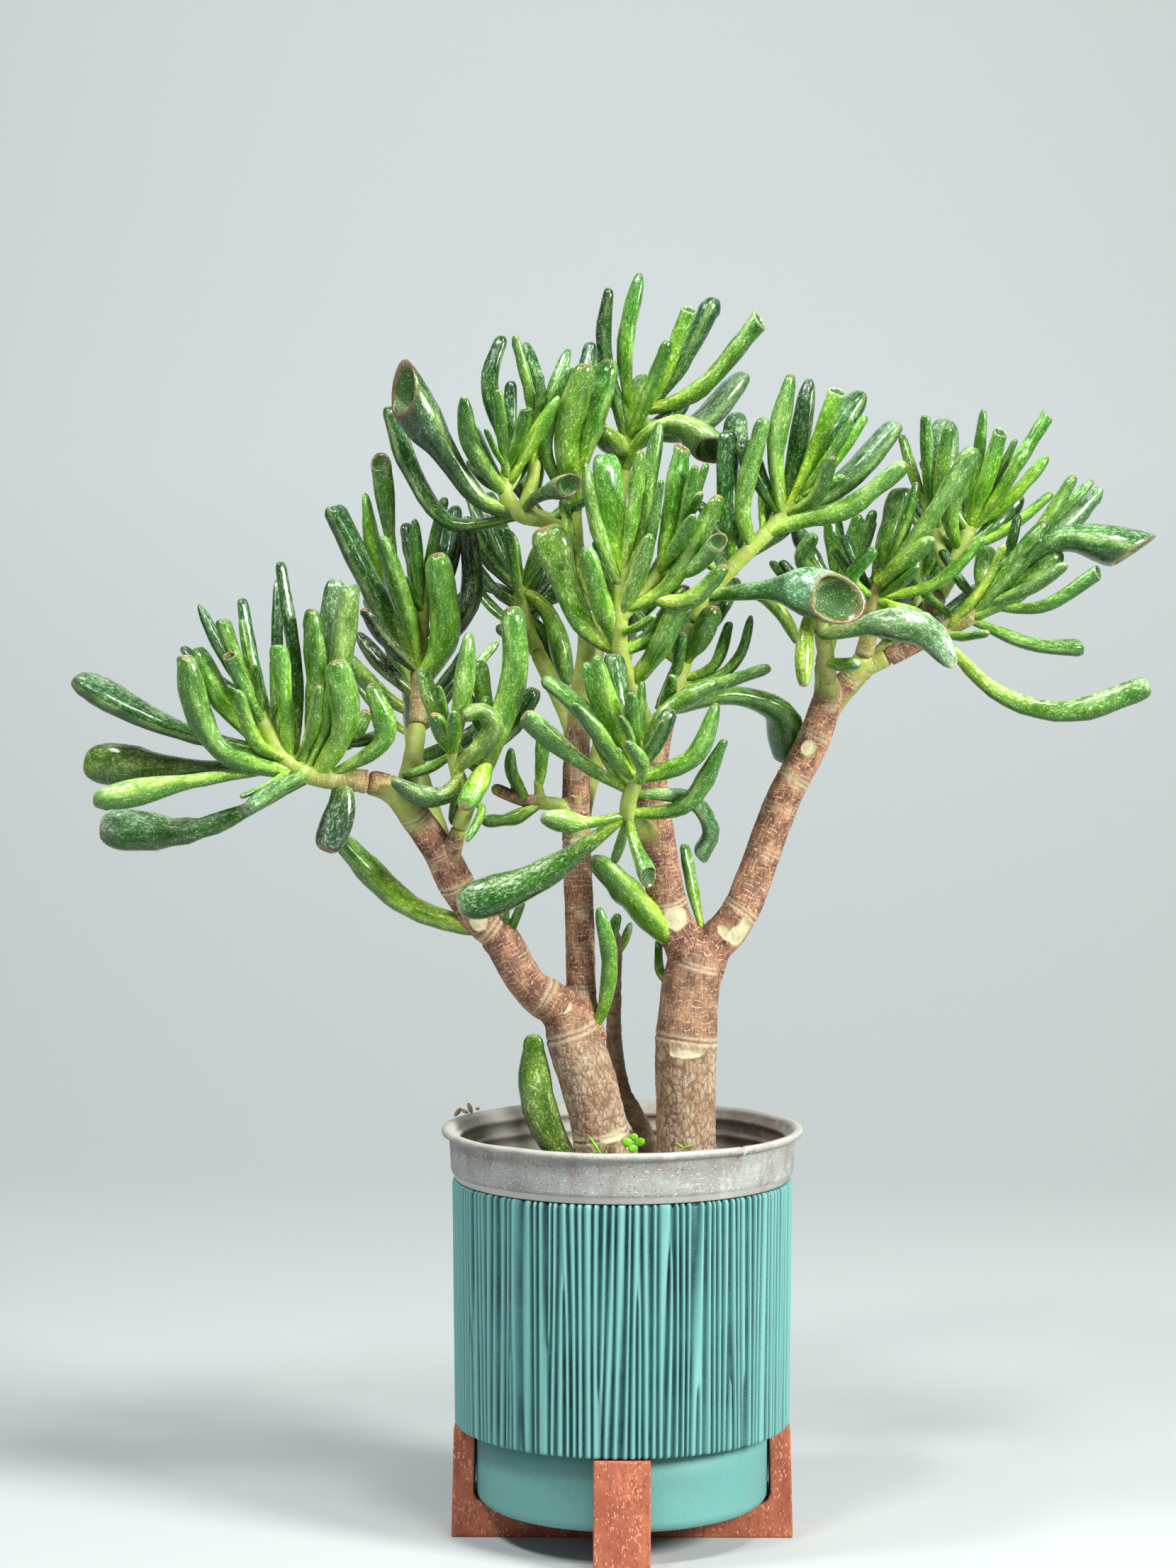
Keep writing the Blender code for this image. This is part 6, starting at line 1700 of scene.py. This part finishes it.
green_skin = bark.mix(bark.noise(0.35, 3, flat), (0.20, 0.31, 0.03), (0.44, 0.52, 0.10))
red_bark = bark.layers((0.120, 0.048, 0.032), (blotch, (0.36, 0.180, 0.098)),
                       (pale_fibres, (0.58, 0.36, 0.21)),
                       (bark.math("MULTIPLY", fibres, 0.8), (0.070, 0.026, 0.020)),
                       (cork, (0.80, 0.57, 0.35)))
tan_bark = bark.layers((0.33, 0.225, 0.135), (blotch, (0.47, 0.375, 0.24)),
                       (bark.span(bark.noise(1.5, 4, tall), 0.50, 0.68, 0, 0.35), (0.24, 0.145, 0.095)),
                       (fissure, (0.12, 0.060, 0.040)))
scar_colour = bark.layers((0.50, 0.58, 0.28), (bark.span(age, 0.2, 0.6), (0.60, 0.53, 0.35)),
                          (bark.span(bark.noise(0.5, 4, flat), 0.45, 0.7, 0, 0.5), (0.36, 0.25, 0.15)))
bark_colour = bark.layers(green_skin, (bark.span(age, 0.08, 0.42), red_bark),
                          (bark.span(age, 0.58, 0.95), tan_bark), (bark.read("pale"), scar_colour))
bark_normal = bark.bump(bark.noise(1.1, 4, flat), 0.6, 0.5)
bark_normal = bark.bump(cork, 0.4, 0.25, bark_normal)
bark_normal = bark.bump(bark.math("ADD", fine_net, fibres), -0.4, 0.25, bark_normal)
JADE_BARK = bark.done(bark_colour, bark.span(age, 0.05, 0.5, 0.42, 0.85), bark_normal)

# %% [markdown]
# Each stem is a tube along its curve. The tubes of a trunk are melted together by a voxel remesh, which turns
# the forks into smooth crotches, and a young stem stays a tube. Then every vertex is laid back on the stem
# that it belongs to: how far along it is and at what angle round. On that unrolled skin the scars are drawn.

# %% Tubes, and the melt
TUBE_SIDES = 20
TUBE_STEP = 1.1
END_ROWS = 3
VOXEL = {"left_trunk": 0.73, "right_trunk": 0.67}
SMOOTHING = 10


def tube_along(bm, line):
    """A closed tube along rows of x, y, z and radius, with a rounded end."""
    way = unit(np.gradient(line[:, :3], axis=0))
    wide = unit(np.cross(np.array(FRONT)[None, :], way))
    up = np.cross(way, wide)
    rings, _, ends = stacked_rings(bm, TUBE_SIDES, len(line), True)
    for k, ring in enumerate(rings):
        left = min(len(line) - 1 - k + 0.4, END_ROWS)
        close = math.sqrt(max(0.12, 1 - (1 - left / END_ROWS) ** 2))
        for vert in ring:
            x, y = vert.co.x * line[k, 3] * close, vert.co.y * line[k, 3] * close
            vert.co = Vector(line[k, :3] + wide[k] * x + up[k] * y)
    bmesh.ops.poke(bm, faces=ends)


def melt(piece, voxel):
    """Turns the piece into one skin of even small faces."""
    remesh = piece.modifiers.new("melt", "REMESH")
    remesh.mode = "VOXEL"
    remesh.voxel_size = voxel * MM
    soften = piece.modifiers.new("soften", "SMOOTH")
    soften.factor = 0.5
    soften.iterations = SMOOTHING
    graph = bpy.context.evaluated_depsgraph_get()
    skin = bpy.data.meshes.new_from_object(piece.evaluated_get(graph))
    piece.modifiers.clear()
    old, piece.data = piece.data, skin
    bpy.data.meshes.remove(old)
    skin.shade_smooth()


# %% [markdown]
# Some scars are read from the picture, because they give the trunks their character: the broad rings with a
# pale oval under them, and the oval where a branch was lost. The others follow a rule, since a jade plant
# sets its leaves in pairs, each pair square to the last.

# %% Scars and fissures
# x and z as seen, then an oval's half height and half width in millimetres. A ring goes all the way round,
# so it has only the width of its groove.
OVALS = [(29.5, 229, 2.6, 8.0), (40, 261, 9.0, 4.6), (24, 292, 7.0, 6.2), (57, 283, 8.0, 5.0),
         (49, 284, 3.5, 5.0), (-29, 250, 3.5, 6.5), (-5, 189, 2.2, 8), (-70, 290, 4.0, 5.0),
         (-20, 327, 3.0, 5.0), (87, 371, 4.0, 4.0)]
RINGS = [(30, 234.5, 0.9), (-23, 238, 0.9), (-10, 189, 0.9), (35, 270, 0.7), (-38, 254, 0.8), (-62, 287, 0.8),
         (-78, 307, 0.8), (-20, 326, 0.8), (55, 295, 0.7), (22, 299, 0.7), (-97, 339, 0.7), (80, 357, 0.7)]
# Places that look younger (greener) than their thickness says, or older (negative): x and z as seen, how far
# it reaches, and by how many millimetres of radius.
YOUNG = [(-103, 345, 12, 2.6), (-95, 332, 8, 1.6), (-20, 332, 7, 2.0), (-20, 347, 5, 1.6), (87, 368, 7, 2.6),
         (80, 352, 5, 1.6), (-50, 349, 14, -3.4), (114, 454, 13, -1.6), (97, 440, 8, -1.2),
         (-80, 326, 8, -2.0)]
# Stems that turn brown earlier than their thickness says, in millimetres of radius.
BROWNER = {"shoot_right_low": 1.2, "shoot_right_inner": 0.9, "shoot_front_right": 0.8,
           "shoot_upright_left": 1.1}
GREEN_R, BROWN_R = 3.9, 6.1
BROWN_UNTIL, TAN_R = 9.6, 12.0
TAN_UP_TO = 240
TAN_FADE = 9
BACK_STEM_AGE = 0.88
SCARRED_R = 9.3
RING_BANK, RING_GROOVE = 0.38, 0.75
RING_SLANT = 0.10
OVAL_BANK, OVAL_DISH = 0.40, 0.18
FISSURE_DEPTH = 0.32
FISSURE_CELL = (2.4, 2.4, 4.8)

Skin = namedtuple("Skin", "rows owner along mine s turn radius out")


def unrolled(co, stems):
    """The stems' rows, each row's stem and its distance along it, and for each vertex: its stem, how far
    along it and at what angle round it is, the stem's radius there, and the way out."""
    lines = [stem.fine(0.6) for stem in stems]
    rows = np.vstack(lines)
    owner = np.repeat(np.arange(len(lines)), [len(line) for line in lines])
    along = np.concatenate([np.linspace(0, length_of(line), len(line)) for line in lines])
    way = np.vstack([unit(np.gradient(line[:, :3], axis=0)) for line in lines])
    best = np.empty(len(co), int)
    for start in range(0, len(co), 4000):
        part = co[start : start + 4000]
        gap = np.linalg.norm(part[:, None, :] - rows[None, :, :3], axis=2) - rows[None, :, 3]
        best[start : start + 4000] = gap.argmin(axis=1)
    out = co - rows[best, :3]
    ahead = (out * way[best]).sum(axis=1)
    out = out - way[best] * ahead[:, None]
    side = unit(np.cross(way[best], np.array(FRONT)[None, :]))
    front = np.cross(side, way[best])
    turn = np.arctan2((out * side).sum(axis=1), (out * front).sum(axis=1))
    return Skin(rows, owner, along, owner[best], along[best] + ahead, turn, rows[best, 3], unit(out))


def edge_of_cell(points):
    """How far each point is from the wall between the two cells nearest to it."""
    base = np.floor(points)
    first, second = np.full(len(points), 9.0), np.full(len(points), 9.0)
    for step in np.ndindex(3, 3, 3):
        cell = base + np.array(step) - 1
        centre = [np.sin(cell @ np.array(key)) * HASH_SCALE for key in HASH_KEYS]
        centre = cell + np.column_stack([value - np.floor(value) for value in centre])
        gap = np.linalg.norm(centre - points, axis=1)
        second = np.minimum(second, np.maximum(first, gap))
        first = np.minimum(first, gap)
    return second - first


def smooth_step(value):
    value = np.clip(value, 0, 1)
    return value * value * (3 - 2 * value)


def wrapped(angle):
    return (angle + math.pi) % math.tau - math.pi


def hump(value, reach):
    """1 where the value is 0, falling to nothing within about twice its reach."""
    return np.exp(-((value / reach) ** 2))


def draw_ring(state, on, ds, width):
    state["push"] += on * (RING_BANK * hump(ds, 2.6 * width) - RING_GROOVE * hump(ds, 0.7 * width))
    state["pale"] = np.maximum(state["pale"], on * 0.55 * hump(np.abs(ds) - 1.5 * width, width))
    state["crack"] = np.maximum(state["crack"], on * hump(ds, 0.55 * width))


def draw_oval(state, on, ds, da, high, wide):
    q = np.hypot(ds / high, da / wide) + 0.2 * state["ragged"]
    state["pale"] = np.maximum(state["pale"], on * smooth_step((1.05 - q) / 0.25))
    state["push"] += on * (OVAL_BANK * hump(q - 1, 0.16) - OVAL_DISH * smooth_step((0.95 - q) / 0.3))
    state["calm"] *= 1 - on * smooth_step((1.15 - q) / 0.3)


def draw_read_scars(state, co, skin):
    """The scars that were read, each on the stem that is seen nearest to it."""
    seen = np.array([to_reading(row) for row in skin.rows])
    for x, z, *size in OVALS + RINGS:
        away = np.hypot(seen[:, 0] - x, seen[:, 1] - z)
        near = int((away / skin.rows[:, 3]).argmin())
        thick = skin.rows[near, 3]
        if away[near] > 1.2 * thick:
            continue
        beyond = np.clip(np.linalg.norm(co - skin.rows[near, :3], axis=1) - 1.6 * thick, 0, None)
        on = hump(beyond, 3) * (skin.mine == skin.owner[near])
        ds = skin.s - skin.along[near]
        if len(size) == 1:
            draw_ring(state, on, ds - RING_SLANT * skin.radius * np.cos(skin.turn - x), size[0])
        else:
            aim = math.asin(max(-0.95, min(0.95, (x - seen[near, 0]) / thick)))
            draw_oval(state, on, ds, wrapped(skin.turn - aim) * skin.radius, *size)


def draw_leaf_scars(state, skin, stems, draw):
    """A ring and two small ovals for each pair of leaves that once grew on the thinner wood."""
    for k in range(len(stems)):
        rows = skin.rows[skin.owner == k]
        length, at = length_of(rows), draw.uniform(3, 6)
        pair = draw.uniform(0, math.pi)
        while at < length - 2:
            r = float(np.interp(at, np.linspace(0, length, len(rows)), rows[:, 3]))
            if r < SCARRED_R:
                on = (skin.mine == k) * np.clip((SCARRED_R - r) / 1.5, 0, 1)
                ds = skin.s - at - RING_SLANT * skin.radius * np.cos(skin.turn - pair)
                draw_ring(state, 0.5 * on, ds, 0.08 * r + 0.12)
                for side in (pair, pair + math.pi):
                    da = wrapped(skin.turn - side) * skin.radius
                    draw_oval(state, 0.3 * on, ds + 0.45 * r, da, 0.32 * r, 0.55 * r)
            at += draw.uniform(1.7, 2.6) * r + 1.5
            pair += math.pi / 2 + draw.uniform(-0.2, 0.2)


def age_of(name, co, radius):
    """0 where a stem is green, 0.5 where it is red-brown, and 1 on the tan bark low on the trunks."""
    if name.startswith("back"):
        return np.full(len(co), BACK_STEM_AGE)
    aged = radius + BROWNER.get(name, 0)
    away = 1 + co[:, 1] / EYE_BACK
    for x, z, reach, years in YOUNG:
        gap = np.hypot(co[:, 0] / away - x, EYE_UP + (co[:, 2] - EYE_UP) / away - z)
        aged = aged - years * hump(gap, reach)
    brown = np.clip((aged - GREEN_R) / (BROWN_R - GREEN_R), 0, 1)
    tan = np.clip((radius - BROWN_UNTIL) / (TAN_R - BROWN_UNTIL), 0, 1)
    return 0.5 * brown + 0.5 * tan * np.clip((TAN_UP_TO - co[:, 2]) / TAN_FADE, 0.3, 1)


def dress_wood(piece, stems, seed, read_scars):
    """Relief and attributes of bark on the piece."""
    mesh = piece.data
    co = np.empty(len(mesh.vertices) * 3, np.float32)
    mesh.vertices.foreach_get("co", co)
    co = co.reshape(-1, 3).astype(float) / MM
    skin = unrolled(co, stems)
    flat_co = np.column_stack([np.cos(skin.turn) * skin.radius, np.sin(skin.turn) * skin.radius,
                               skin.s + 400 * skin.mine + 31 * seed])
    age_now = age_of(piece.name.removesuffix("_wood"), co, skin.radius)
    state = {"push": np.zeros(len(co)), "pale": np.zeros(len(co)), "crack": np.zeros(len(co)),
             "calm": np.ones(len(co)), "ragged": soft_noise(flat_co / 3.2, 3)}
    if read_scars:
        draw_read_scars(state, co, skin)
    draw_leaf_scars(state, skin, stems, random.Random(seed))
    lumps = 0.45 * soft_noise(flat_co / (11, 11, 16)) + 0.22 * soft_noise(flat_co / (3, 3, 5), 5)
    net = edge_of_cell(flat_co / FISSURE_CELL)
    fissures = smooth_step((age_now - 0.6) / 0.35) * smooth_step((0.20 - net) / 0.16) * state["calm"]
    push = state["push"] + lumps * np.clip(skin.radius / 9, 0.25, 1) - FISSURE_DEPTH * fissures
    co += skin.out * push[:, None]
    mesh.vertices.foreach_set("co", (co * MM).astype(np.float32).ravel())
    write_attribute(mesh, "flat", flat_co)
    write_attribute(mesh, "age", age_now)
    write_attribute(mesh, "pale", np.clip(state["pale"], 0, 0.92))
    write_attribute(mesh, "crack", np.clip(0.78 * fissures + state["crack"] * 0.8, 0, 1))
    mesh.update()


# %% The trunks, the back stem and the young stems
for k, (name, stems) in enumerate(STEMS.items()):
    bm = bmesh.new()
    for stem in stems:
        tube_along(bm, stem.fine(TUBE_STEP))
    face_out(bm)
    piece = finished(bm, name + "_wood", JADE_BARK, "bark" if name not in SHOOTS else "leaf", name)
    if name in VOXEL:
        melt(piece, VOXEL[name])
    dress_wood(piece, stems, k, name in VOXEL)
    print(piece.name, "now has", 2 * len(piece.data.polygons), "triangles or fewer")
